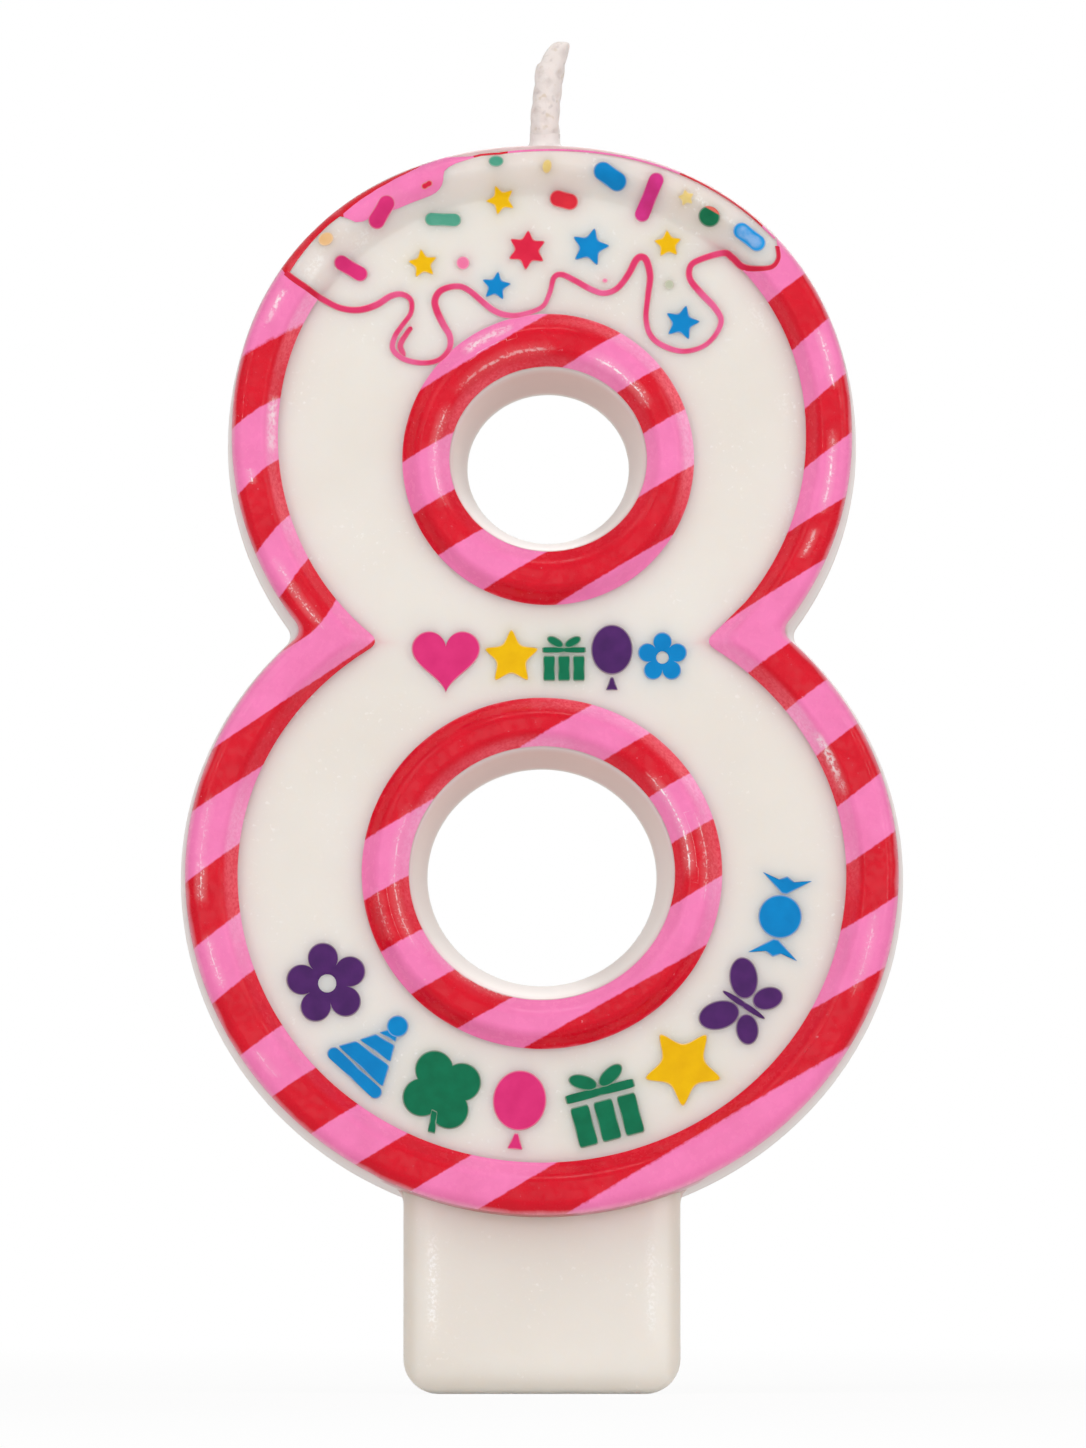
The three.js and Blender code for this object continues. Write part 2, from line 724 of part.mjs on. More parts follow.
// name, colour, shape, its place on the lobe's grid, and its turn in degrees
const ORNAMENTS = [
  ["star_yellow_left", YELLOW, starShape(5, STAR_SIZE, 0.5), [-0.374, 0.564], 8],
  ["star_yellow_top", YELLOW, starShape(5, STAR_SIZE, 0.5), [-0.129, 0.777], 22],
  ["star_yellow_right", YELLOW, starShape(5, 0.93 * STAR_SIZE, 0.55), [0.396, 0.63], 4],
  ["star_pale_yellow", PALE_YELLOW, starShape(5, 0.55 * STAR_SIZE, 0.6), [0.453, 0.78], 10],
  ["star_red", RED, starShape(6, 1.3 * STAR_SIZE, 0.58), [-0.047, 0.61], -4],
  ["star_blue_left", BLUE, starShape(5, STAR_SIZE, 0.5), [-0.144, 0.489], -8],
  ["star_blue_middle", BLUE, starShape(5, 1.3 * STAR_SIZE, 0.5), [0.151, 0.62], -14],
  ["star_blue_drip", BLUE, starShape(5, 1.2 * STAR_SIZE, 0.5), [0.44, 0.367], -14],
  ["bar_magenta_tilted", MAGENTA, barShape(BAR_LENGTH, BAR_WIDTH), [-0.503, 0.734], 59],
  ["bar_magenta_left", MAGENTA, barShape(BAR_LENGTH, 0.9 * BAR_WIDTH), [-0.6, 0.548], -30],
  ["bar_magenta_long", MAGENTA, barShape(1.4 * BAR_LENGTH, 0.9 * BAR_WIDTH), [0.337, 0.784], 67],
  ["bar_teal", TEAL, barShape(BAR_LENGTH, 0.78 * BAR_WIDTH), [-0.311, 0.712], -2],
  ["bar_red", RED, barShape(0.8 * BAR_LENGTH, BAR_WIDTH), [0.069, 0.777], -15],
  ["bar_blue", BLUE, barShape(BAR_LENGTH, 1.14 * BAR_WIDTH), [0.214, 0.852], -35],
  ["bar_blue_scuffed", BLUE, barShape(BAR_LENGTH, BAR_WIDTH), [0.651, 0.649], -38],
  ["chip_red", RED, barShape(0.82 * CHIP_SIZE, 0.42 * CHIP_SIZE), [-0.361, 0.823], 30],
  ["chip_teal", TEAL, dotShape(CHIP_SIZE, 0.74 * CHIP_SIZE), [-0.144, 0.902], 0],
  ["chip_green", GREEN, dotShape(1.45 * CHIP_SIZE, 1.3 * CHIP_SIZE), [0.525, 0.718], -30],
  ["dot_orange", PALE_YELLOW, dotShape(1.2 * DOT_SIZE, DOT_SIZE), [-0.678, 0.642], 30],
  ["dot_yellow", PALE_YELLOW, dotShape(0.72 * DOT_SIZE, 1.05 * DOT_SIZE), [0.016, 0.885], -10],
  ["dot_pink", PINK, dotShape(DOT_SIZE, DOT_SIZE), [-0.248, 0.567], 0],
  ["dot_grey_green", TEAL, dotShape(0.7 * DOT_SIZE, 0.7 * DOT_SIZE), [0.4, 0.495], 0],
  ["dot_small_pink", PINK, dotShape(0.42 * DOT_SIZE, 0.35 * DOT_SIZE), [0.198, 0.508], 0],
];

const ornaments = ORNAMENTS.map(([name, colour, shapes, spot, turn]) => ({
  name,
  colour,
  column: place(shapes, onLobeGrid(spot), turn),
}));

// Five motifs in a row between the rings, as large as the gap between the rings and
// the field's width at the waist let them be: name, colour, shape, and place across in
// motif sizes, from the left. The last one reaches ROW_REACH motif sizes to the right.
const ROW_REACH = 2.136;
const rowTop = upperRing.y - upperRing.radius;
const rowBottom = lowerRing.y + lowerRing.radius - lowerRing.flatten;
const rowHeight = (rowTop + rowBottom) / 2 - ROW_DROP;
const rowMotif = Math.min(
  (waistHalfWidth(footInset) - ROW_CLEARANCE) / ROW_REACH,
  rowTop - rowBottom - 2 * ROW_CLEARANCE,
);
const ROW = [
  ["row_heart", MAGENTA, heartShape(rowMotif), -1.4],
  ["row_star", YELLOW, starShape(5, 0.87 * rowMotif, 0.5), -0.444],
  ["row_gift", GREEN, giftShape(0.73 * rowMotif), 0.322],
  ["row_balloon", PURPLE, balloonShape(0.65 * rowMotif, rowMotif), 1.02],
  ["row_flower", BLUE, flowerShape(0.76 * rowMotif), 1.756],
];

// Eight motifs under the lower ring, on an arc halfway between it and the rim: name,
// colour, shape and angle on the arc
const arcReach = (lowerRing.radius + LOWER_HALF_WIDTH - footInset) / 2;
const ringDrop = lowerRing.radius - lowerRing.flatten;
const arcFall = (ringDrop + lowerRing.y - TAB_REACH - footInset) / 2 + ARC_DROP;
const ARC = [
  ["arc_flower", PURPLE, flowerShape(ARC_MOTIF), -152.4],
  ["arc_hat", BLUE, hatShape(0.85 * ARC_MOTIF, 0.98 * ARC_MOTIF), -132.7],
  ["arc_clover", GREEN, cloverShape(0.87 * ARC_MOTIF), -114.4],
  ["arc_balloon", MAGENTA, balloonShape(0.65 * ARC_MOTIF, 0.96 * ARC_MOTIF), -95.5],
  ["arc_gift", GREEN, giftShape(0.93 * ARC_MOTIF), -75.4],
  ["arc_star", YELLOW, starShape(5, 0.98 * ARC_MOTIF, 0.5), -54.4],
  ["arc_butterfly", PURPLE, butterflyShape(ARC_MOTIF), -33.6],
  ["arc_sweet", BLUE, sweetShape(ARC_MOTIF, 0.63 * ARC_MOTIF), -10.5],
];

const motifs = [
  ...ROW.map(([name, colour, shapes, across]) => {
    const at = { x: across * rowMotif, y: rowHeight };
    return { name, colour, column: place(shapes, at, 0) };
  }),
  ...ARC.map(([name, colour, shapes, degrees]) => {
    const angle = THREE.MathUtils.degToRad(degrees);
    const at = {
      x: lowerRing.x + arcReach * Math.cos(angle),
      y: lowerRing.y + arcFall * Math.sin(angle),
    };
    return { name, colour, column: place(shapes, at, degrees + 90) };
  }),
];

// The icing's outline is one line with a short hook inside its left drip.
function icingLine(width) {
  return column(strokeShape(DRIPS, width, dripSteps)).add(
    column(strokeShape(DRIP_HOOK, width, 10)),
  );
}

// The rim's print runs all round. Under the icing only a thin line along the edge
// and one patch at the left are left of it.
function rimPrint() {
  const band = printEdge.subtract(within(footInset + PRINT_MARGIN));
  const patch = column([new THREE.Shape(PINK_PATCH.map(onLobeGrid))]);
  const bare = column([icingRegion])
    .add(icingLine(ICING_LINE + 2 * PRINT_SPACING))
    .intersect(within(edgeLineInset))
    .subtract(patch);
  const print = band.add(patch.intersect(printEdge)).subtract(bare);
  return ornaments.reduce((rest, { column: own }) => rest.subtract(own), print);
}

function ringPrint(ring) {
  const outer = column([new THREE.Shape(ellipseOutline(ring, -PRINT_MARGIN))]);
  const inner = column([new THREE.Shape(ellipseOutline(ring, RING_BAND - PRINT_MARGIN))]);
  return outer.subtract(inner).subtract(icingLine(ICING_LINE + 2 * PRINT_SPACING));
}

// Assembly

function finish(colour, roughness) {
  return new THREE.MeshStandardMaterial({ color: colour, roughness, metalness: 0 });
}

function piece(name, geometry, material) {
  const mesh = new THREE.Mesh(geometry, material);
  mesh.name = name;
  return mesh;
}

// The largest body of a print, without crumbs that another print cuts off it
function largestBody(solid) {
  return solid.decompose().reduce((a, b) => (b.volume() > a.volume() ? b : a));
}

function printed(name, colour, shape) {
  const film = largestBody(shape.intersect(printEdge).intersect(skin));
  return piece(name, asGeometry(film), finish(colour, 0.4));
}

// Built lying in its mould, with the back at depth 0, and then stood up
const casting = new THREE.Group();
casting.rotation.x = Math.PI / 2;
casting.position.y = totalDepth / 2;
casting.add(
  piece("wax_body", asGeometry(waxBody()), finish(WAX, 0.45)),
  piece("wick", wickGeometry(), finish(COTTON, 0.85)),
  piece("wick_seal", sealGeometry(), finish(WAX, 0.4)),
  printed("print_outer_rim", PINK, rimPrint()),
  printed("print_upper_ring", PINK, ringPrint(upperRing)),
  printed("print_lower_ring", PINK, ringPrint(lowerRing)),
  printed("print_icing_line", ICING_PINK, icingLine(ICING_LINE).intersect(insideEdgeLine)),
  ...[...ornaments, ...motifs].map((print) =>
    printed(print.name, print.colour, print.column),
  ),
);

const candle = new THREE.Group();
candle.add(casting);

export default candle;
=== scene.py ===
"""Looks of a moulded number candle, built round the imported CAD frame.

Lengths are in millimetres until a mesh is made. x runs to the right, up runs upwards, and
depth is the height over the candle's flat back, so the printed front has the most depth.
"""

import logging
import math
from dataclasses import dataclass, field
from enum import Enum
from functools import cached_property

import bmesh
import bpy
import numpy as np
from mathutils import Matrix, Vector


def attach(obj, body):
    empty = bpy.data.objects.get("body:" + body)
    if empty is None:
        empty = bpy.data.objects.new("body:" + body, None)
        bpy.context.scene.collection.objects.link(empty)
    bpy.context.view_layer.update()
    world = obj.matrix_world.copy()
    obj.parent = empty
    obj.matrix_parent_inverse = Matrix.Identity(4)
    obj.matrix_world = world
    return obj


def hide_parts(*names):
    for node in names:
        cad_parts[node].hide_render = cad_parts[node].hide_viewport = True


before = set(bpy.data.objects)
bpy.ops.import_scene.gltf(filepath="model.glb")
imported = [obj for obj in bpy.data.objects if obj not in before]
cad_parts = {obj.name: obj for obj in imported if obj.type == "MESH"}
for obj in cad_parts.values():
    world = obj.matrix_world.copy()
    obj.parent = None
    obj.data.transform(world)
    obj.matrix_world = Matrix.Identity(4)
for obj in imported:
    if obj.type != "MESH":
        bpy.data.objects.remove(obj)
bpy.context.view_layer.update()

log = logging.getLogger("candle")

Array = np.ndarray
Points = tuple[Array, Array]
Socket = bpy.types.NodeSocket

MM = 0.001
FULL_TURN = 2 * math.pi
TOTAL_DEPTH = 12.0
WELD_MM = 0.0005
BODY = "root"
WAX_IOR = 1.44
# A stripe of the rings and the rim rises by this much of a millimetre for each one across
STRIPE_SLOPE = 0.595


# Small helpers


def linear(colour: str, alpha: float = 1.0) -> tuple[float, float, float, float]:
    """Turns an sRGB hex colour into linear light.

    Args:
        colour: Six hex digits after a hash sign.
        alpha: The fourth channel, kept as it is.

    Returns:
        Linear red, green and blue, and the fourth channel.
    """
    channels = [int(colour[i : i + 2], 16) / 255 for i in (1, 3, 5)]
    light = [c / 12.92 if c <= 0.04045 else ((c + 0.055) / 1.055) ** 2.4 for c in channels]
    return (*light, alpha)


def smooth_step(value: Array, low: float, high: float) -> Array:
    """Rises from 0 at low to 1 at high as three t squared less two t cubed."""
    t = np.clip((value - low) / (high - low), 0, 1)
    return t * t * (3 - 2 * t)


def soft_ramp(value: Array, softness: float) -> Array:
    """A ramp with a rounded corner.

    It is 0 well below zero and the value itself well above it. Within the softness either
    side of zero it is the square of value plus softness, over four times the softness.

    Args:
        value: Where along the ramp.
        softness: Half the width of the rounded corner.

    Returns:
        The ramp's height.
    """
    corner = (value + softness) ** 2 / (4 * softness)
    return np.where(value <= -softness, 0, np.where(value >= softness, value, corner))


def soft_slope(value: Array, start: float, end: float, softness: float) -> Array:
    """Goes from 0 to 1 between start and end, with both corners rounded."""
    rise = soft_ramp(value - start, softness) - soft_ramp(value - end, softness)
    return rise / (end - start)


def even_angles(count: int) -> Array:
    """Even angles over a full turn, without the last one, which would repeat the first."""
    return np.linspace(0, FULL_TURN, count + 1)[:-1]


def quarter_turn(count: int) -> Array:
    """Even angles from 0 to a right angle, both with them."""
    return np.linspace(0, math.pi / 2, count)


def polar(reach: Array, angle: Array) -> Array:
    """Points at a distance and an angle from the middle."""
    return np.stack([reach * np.cos(angle), reach * np.sin(angle)], -1)


def bend(t: Array, start: Array, corner: Array, end: Array) -> Array:
    """Places on the quadratic curve from start to end that is drawn towards a corner."""
    return (1 - t) ** 2 * start + 2 * t * (1 - t) * corner + t**2 * end


def lengths(line: Array) -> Array:
    """Length of the way along a line to each of its points."""
    return np.concatenate([[0], np.cumsum(np.hypot(*np.diff(line, axis=0).T))])


def resample(line: Array, wanted: Array) -> Array:
    """Points of a line at the wanted lengths along it."""
    along = lengths(line)
    return np.stack([np.interp(wanted, along, line[:, i]) for i in (0, 1)], -1)


def lookup(table: tuple[tuple[float, ...], ...], at: Array) -> Array:
    """Values of a table of places and values, joined by straight lines."""
    return np.interp(at, *np.array(table).T)


# Shape of the candle


@dataclass(frozen=True)
class Lobe:
    """One lobe of the eight, a superellipse whose upper and lower halves differ."""

    centre: float
    half_width: float
    rise: float
    drop: float
    square_up: float
    square_down: float
    inset_share: float = 1.0

    def point(self, angle: Array, inset: Array) -> Points:
        """Point of the outline at an angle.

        x is the half width times a power of the cosine, and up is the rise or the drop times
        the same power of the sine. The power is two over the squareness.

        Args:
            angle: Angle from the right-hand side, counter-clockwise, in radians.
            inset: How far the outline is set in. The lobe takes its share of it.

        Returns:
            x and up of each point.
        """
        inset = self.inset_share * np.asarray(inset)
        cosine, sine = np.cos(angle), np.sin(angle)
        power = 2 / np.where(sine > 0, self.square_up, self.square_down)
        reach = np.where(sine > 0, self.rise, self.drop) - inset
        x = np.sign(cosine) * (self.half_width - inset) * np.abs(cosine) ** power
        return x, self.centre + np.sign(sine) * reach * np.abs(sine) ** power

    def inset_of(self, x: Array, up: Array) -> Array:
        """Inset of the outline that passes through each point, found by halving.

        Args:
            x: Points' places across.
            up: Points' heights.

        Returns:
            The inset, negative outside the lobe.
        """
        above = up > self.centre
        square = np.where(above, self.square_up, self.square_down)
        reach = np.where(above, self.rise, self.drop)
        across, along = np.abs(x), np.abs(up - self.centre)
        low = np.full(np.shape(x), -8.0)
        high = np.minimum(self.half_width, reach) / self.inset_share - 0.01
        for _ in range(26):
            middle = (low + high) / 2
            own = self.inset_share * middle
            wide, tall = across / (self.half_width - own), along / (reach - own)
            outside = wide**square + tall**square > 1
            high = np.where(outside, middle, high)
            low = np.where(outside, low, middle)
        return (low + high) / 2


@dataclass(frozen=True)
class Ring:
    """A raised ring round a hole."""

    x: float
    up: float
    radius: float
    foot_flatten: float = 0.0
    flatten: float = 0.4
    flatten_from: float = 0.9
    flatten_over: float = 1.4

    def point(self, angle: Array, sink: Array) -> Points:
        """Point at an angle on the ellipse that lies a distance in from the ring's foot.

        The half width is the radius less the distance. The half height is less than that by
        the flattening, which grows evenly over the ring's crown.

        Args:
            angle: Angle from the right-hand side, counter-clockwise, in radians.
            sink: Distance in from the foot.

        Returns:
            x and up of each point.
        """
        half = self.radius - sink
        share = np.clip((sink - self.flatten_from) / self.flatten_over, 0, 1)
        x = self.x + half * np.cos(angle)
        flat = self.foot_flatten + (self.flatten - self.foot_flatten) * share
        return x, self.up + (half - flat) * np.sin(angle)

    def sink_of(self, x: Array, up: Array) -> Array:
        """Distance of each point in from the ring's foot, as if that were round."""
        stretch = self.radius / (self.radius - self.foot_flatten)
        return self.radius - np.hypot(x - self.x, (up - self.up) * stretch)


@dataclass(frozen=True)
class Figure:
    """The eight's front: its outline at any inset, and how high its relief stands."""

    upper: Lobe = Lobe(62.71, 20.9, 19.7, 20.5, 2.13, 2.0, 0.88)
    lower: Lobe = Lobe(34.01, 24.0, 22.05, 22.9, 2.0, 2.0)
    upper_ring: Ring = Ring(0.41, 61.28, 9.5)
    lower_ring: Ring = Ring(0.0, 34.11, 11.74, 0.3)
    notch_fillet: float = 0.9
    depth: float = 11.8
    draft: float = 0.55
    relief: float = 1.2
    shoulder_depth: float = 1.1
    shoulder: float = 1.0
    crown: float = 1.5
    print_lift: float = 0.33
    flank: float = 0.95
    ring_band: float = 3.08
    ring_flank: float = 0.9
    ring_dip: float = 0.9
    hole_draft: float = 1.1
    softness: float = 0.28

    @property
    def rings(self) -> tuple[Ring, Ring]:
        """The upper and the lower ring."""
        return self.upper_ring, self.lower_ring

    @property
    def field_depth(self) -> float:
        """Depth of the flat field between the rims."""
        return self.depth - self.relief

    @property
    def shoulder_inset(self) -> float:
        """Inset at which the rim's rounded shoulder ends and its crown begins."""
        return self.draft + self.shoulder

    @property
    def flank_start(self) -> float:
        """Inset at which the rim's crown ends."""
        return self.shoulder_inset + self.crown

    @property
    def foot(self) -> float:
        """Inset at which the rim's flank reaches the field."""
        return self.flank_start + self.flank

    @cached_property
    def waist(self) -> tuple[Array, Array, Array]:
        """Insets, and the angles at which the upper and the lower lobe cross there.

        The lobes' widths are compared at the middle of an interval that is halved each time.
        """
        insets = np.linspace(0, 6, 121)
        own = self.upper.inset_share * insets
        upper_drop, lower_rise = self.upper.drop - own, self.lower.rise - insets
        low, high = self.upper.centre - upper_drop, self.lower.centre + lower_rise
        for _ in range(40):
            level = (low + high) / 2
            over = 1 - ((level - self.upper.centre) / upper_drop) ** 2
            under = 1 - ((level - self.lower.centre) / lower_rise) ** 2
            wide = (self.upper.half_width - own) * np.sqrt(over)
            wider = wide > (self.lower.half_width - insets) * np.sqrt(under)
            high = np.where(wider, level, high)
            low = np.where(wider, low, level)
        upper_angle = np.arcsin((low - self.upper.centre) / upper_drop)
        return insets, upper_angle, np.arcsin((low - self.lower.centre) / lower_rise)

    def outline(self, turn: Array, inset: Array) -> Points:
        """Point of the eight's outline.

        The turn is 0 to 1 over the upper lobe from right to left, 1 to 2 through the left
        notch, 2 to 3 round the lower lobe and 3 to 4 through the right notch. A notch is a
        quadratic curve from lobe to lobe with the lobes' crossing as its corner.

        Args:
            turn: Place along the outline.
            inset: How far the outline is set in.

        Returns:
            x and up of each point.
        """
        turn, inset = np.broadcast_arrays(np.mod(turn, 4.0), inset)
        insets, upper_angles, lower_angles = self.waist
        upper_waist = np.interp(inset, insets, upper_angles)
        lower_waist = np.interp(inset, insets, lower_angles)
        upper_start = upper_waist + self.notch_fillet / (self.upper.drop - inset)
        lower_start = lower_waist - self.notch_fillet / (self.lower.rise - inset)
        part = np.floor(turn)
        t = turn - part
        over = self.upper.point(upper_start + (math.pi - 2 * upper_start) * t, inset)
        under = self.lower.point(math.pi - lower_start + (math.pi + 2 * lower_start) * t, inset)
        corner_x, corner_up = self.upper.point(upper_waist, inset)
        upper_x, upper_up = self.upper.point(upper_start, inset)
        lower_x, lower_up = self.lower.point(lower_start, inset)
        left_x, left_up = -bend(t, upper_x, corner_x, lower_x), bend(t, upper_up, corner_up, lower_up)
        right_x, right_up = bend(t, lower_x, corner_x, upper_x), bend(t, lower_up, corner_up, upper_up)
        parts = [part == 0, part == 1, part == 2]
        x = np.select(parts, [over[0], left_x, under[0]], right_x)
        return x, np.select(parts, [over[1], left_up, under[1]], right_up)

    def inset_of(self, x: Array, up: Array) -> Array:
        """Inset of each point from the eight's outline: the larger of the two lobes'."""
        return np.maximum(self.upper.inset_of(x, up), self.lower.inset_of(x, up))

    def rim_depth(self, inset: Array, up: Array) -> Array:
        """Depth of the outer rim and the field at an inset.

        A quarter of an ellipse makes the shoulder, the crown is level, and a slope with
        rounded corners goes down to the field. Under the icing the slope is longer and softer.

        Args:
            inset: Distance in from the outline.
            up: Height of each point.

        Returns:
            Depth over the back.
        """
        over = np.clip((self.shoulder_inset - inset) / self.shoulder, 0, 1)
        shoulder = self.shoulder_depth * (1 - np.sqrt(1 - over**2))
        flank = soft_slope(inset, self.flank_start, self.foot, self.softness)
        gentle = smooth_step(inset, 1.9, self.foot + 0.38)
        iced = smooth_step(up, 72.5, 76.5)
        return self.depth - shoulder - self.relief * (flank + (gentle - flank) * iced)

    def ring_depth(self, sink: Array) -> Array:
        """Depth of a ring's bead at a distance in from its foot: up, over, and down."""
        rise = soft_slope(sink, 0, self.ring_flank, self.softness)
        fall = soft_slope(sink, self.ring_band - self.ring_flank, self.ring_band, self.softness)
        return self.field_depth + self.relief * rise - self.ring_dip * fall

    def front_depth(self, x: Array, up: Array) -> Array:
        """Depth of the front at any point outside the rings' crowns."""
        rim = self.rim_depth(np.maximum(self.inset_of(x, up), self.draft), up)
        beads = [self.ring_depth(np.minimum(ring.sink_of(x, up), self.ring_flank)) for ring in self.rings]
        return np.maximum(rim, np.maximum(*beads))

    def on_grid(self, spot: Array) -> Array:
        """Places given as shares of the upper lobe's half width and rise, in millimetres."""
        spot = np.asarray(spot, dtype=float)
        x = spot[..., 0] * self.upper.half_width
        up = self.upper.centre + self.print_lift + spot[..., 1] * self.upper.rise
        return np.stack([x, up], axis=-1)


# Meshes


@dataclass
class Draft:
    """Gathers grids of points and makes one mesh of them."""

    points: list[Array] = field(default_factory=list)
    quads: list[Array] = field(default_factory=list)
    layers: dict[str, list[Array]] = field(default_factory=dict)
    count: int = 0

    def grid(self, x: Array, up: Array, depth: Array, wrap: bool = False, **layers: Array) -> None:
        """Adds rows and columns of points, joined by quads.

        Args:
            x: Place across of each point, rows by columns.
            up: Height of each point.
            depth: Depth of each point over the back.
            wrap: Whether the last column joins the first one.
            layers: Numbers kept at each point, for the material to read.
        """
        x, up, depth = np.broadcast_arrays(x, up, depth)
        rows, columns = x.shape
        index = self.count + np.arange(rows * columns).reshape(rows, columns)
        if wrap:
            index = np.concatenate([index, index[:, :1]], axis=1)
        quads = np.stack([index[:-1, :-1], index[:-1, 1:], index[1:, 1:], index[1:, :-1]], -1)
        self.points.append(np.stack([x, TOTAL_DEPTH / 2 - depth, up], -1).reshape(-1, 3))
        self.quads.append(quads.reshape(-1, 4))
        self.count += rows * columns
        for name, values in layers.items():
            values = np.broadcast_to(values, x.shape).reshape(-1)
            self.layers.setdefault(name, []).append(values)

    def film(
        self,
        x: Array,
        up: Array,
        depth: Array,
        wrap: bool = False,
        pole: bool = False,
        lift: float = 0.04,
        **layers: Array,
    ) -> None:
        """Adds a thin closed film that lies on a surface.

        Its upper face stands over the surface by the lift and its lower face lies as far
        below it. The two meet on the film's border.

        Args:
            x: Place across of each point, rows by columns.
            up: Height of each point.
            depth: Depth of the surface under each point.
            wrap: Whether the last column joins the first one.
            pole: Whether the first row is one point in the film's middle.
            lift: How far the upper face stands over the surface.
            layers: Numbers kept at each point, for the material to read.
        """
        x, up, depth = np.broadcast_arrays(x, up, depth)
        inside = np.ones(x.shape)
        inside[-1] = 0
        if not pole:
            inside[0] = 0
        if not wrap:
            inside[:, [0, -1]] = 0
        self.grid(x, up, depth + lift * inside, wrap, **layers)
        self.grid(x, up, depth - lift * inside, wrap, **layers)

    def finish(self, name: str, material: bpy.types.Material, crease: float = 40) -> bpy.types.Object:
        """Welds the grids, turns their faces outwards and makes a shaded object.

        Args:
            name: The object's name.
            material: Its finish.
            crease: Edges that bend by more degrees than this stay sharp.

        Returns:
            The object, at the origin.
        """
        mesh = bpy.data.meshes.new(name)
        points = np.concatenate(self.points) * MM
        mesh.from_pydata(points.tolist(), [], np.concatenate(self.quads).tolist())
        for layer, values in self.layers.items():
            made = mesh.attributes.new(layer, "FLOAT", "POINT")
            made.data.foreach_set("value", np.concatenate(values).astype(np.float32))
        weld(mesh)
        mesh.materials.append(material)
        mesh.shade_smooth()
        mesh.set_sharp_from_angle(angle=math.radians(crease))
        return put(name, mesh)


def put(name: str, data: bpy.types.ID) -> bpy.types.Object:
    """Makes an object of a mesh, a lamp or a camera, at the origin."""
    made = bpy.data.objects.new(name, data)
    bpy.context.scene.collection.objects.link(made)
    return made


def weld(mesh: bpy.types.Mesh) -> None:
    """Merges points that coincide, drops faces without area and turns the rest outwards."""
    work = bmesh.new()
    work.from_mesh(mesh)
    bmesh.ops.remove_doubles(work, verts=work.verts, dist=WELD_MM * MM)
    bmesh.ops.dissolve_degenerate(work, edges=work.edges, dist=WELD_MM * MM / 5)
    bmesh.ops.recalc_face_normals(work, faces=work.faces)
    work.to_mesh(mesh)
    work.free()


def combine(target: bpy.types.Object, tool: bpy.types.Object, operation: str) -> None:
    """Adds one solid to another or cuts it away, and removes the tool.

    Args:
        target: The solid that is changed.
        tool: The solid that is used up.
        operation: UNION or DIFFERENCE.
    """
    step = target.modifiers.new(operation, "BOOLEAN")
    step.operation, step.solver, step.object = operation, "EXACT", tool
    evaluated = target.evaluated_get(bpy.context.evaluated_depsgraph_get())
    result = bpy.data.meshes.new_from_object(evaluated)
    target.modifiers.clear()
    old, target.data = target.data, result
    result.name = target.name
    bpy.data.meshes.remove(old)
    bpy.data.objects.remove(tool)


# Finishes


def node(
    tree: bpy.types.NodeTree,
    kind: str,
    settings: dict[str, object] | None = None,
    inputs: dict[str | int, object] | None = None,
) -> bpy.types.Node:
    """Adds a node with its settings and links.

    Args:
        tree: The tree that it goes into.
        kind: The node's type, without its ShaderNode prefix.
        settings: The node's own properties.
        inputs: A value or another node's output for each named input.

    Returns:
        The node.
    """
    made = tree.nodes.new("ShaderNode" + kind)
    for key, value in (settings or {}).items():
        setattr(made, key, value)
    for key, value in (inputs or {}).items():
        if isinstance(value, Socket):
            tree.links.new(value, made.inputs[key])
        else:
            made.inputs[key].default_value = value
    return made


class Mix(Enum):
    """Sockets of a colour mix node."""

    FACTOR = 0
    A = 6
    B = 7
    RESULT = 2


def mix(tree: bpy.types.NodeTree, factor: object, a: object, b: object, blend: str = "MIX") -> Socket:
    """Mixes two colours.

    Args:
        tree: The tree that the node goes into.
        factor: How much of b there is.
        a: First colour.
        b: Second colour.
        blend: How they mix.

    Returns:
        The mixed colour.
    """
    made = node(
        tree,
        "Mix",
        {"data_type": "RGBA", "blend_type": blend},
        {Mix.FACTOR.value: factor, Mix.A.value: a, Mix.B.value: b},
    )
    return made.outputs[Mix.RESULT.value]


def remap(
    tree: bpy.types.NodeTree, value: Socket, low: float, high: float, to_low: float, to_high: float
) -> Socket:
    """Maps a value from one range to another, held at both ends."""
    inputs = {"Value": value, "From Min": low, "From Max": high, "To Min": to_low, "To Max": to_high}
    return node(tree, "MapRange", inputs=inputs).outputs[0]


def noise(tree: bpy.types.NodeTree, size_mm: float, detail: float = 2.0, seed: float = 0.0) -> Socket:
    """Noise on object coordinates whose features are about a size across.

    Args:
        tree: The tree that the nodes go into.
        size_mm: Size of a feature in millimetres.
        detail: Finer octaves that are added.
        seed: Shifts the pattern, in millimetres.

    Returns:
        The noise, about 0 to 1.
    """
    place = node(tree, "TexCoord").outputs["Object"]
    if seed:
        shift = (seed * MM, seed * MM, seed * MM)
        place = node(tree, "Mapping", inputs={"Vector": place, "Location": shift}).outputs[0]
    settings = {"Vector": place, "Scale": 1 / (size_mm * MM), "Detail": detail}
    return node(tree, "TexNoise", inputs=settings).outputs["Fac"]


def cloudy(
    tree: bpy.types.NodeTree,
    size_mm: float,
    detail: float,
    low: float,
    high: float,
    to_low: float = 0.0,
    to_high: float = 1.0,
    seed: float = 0.0,
) -> Socket:
    """Noise whose values from low to high are spread over another range."""
    return remap(tree, noise(tree, size_mm, detail, seed), low, high, to_low, to_high)


def math_node(tree: bpy.types.NodeTree, operation: str, a: object, b: object = 0.0) -> Socket:
    """One step of arithmetic."""
    return node(tree, "Math", {"operation": operation}, {0: a, 1: b}).outputs[0]


def times(tree: bpy.types.NodeTree, a: object, b: object) -> Socket:
    """One number times the other."""
    return math_node(tree, "MULTIPLY", a, b)


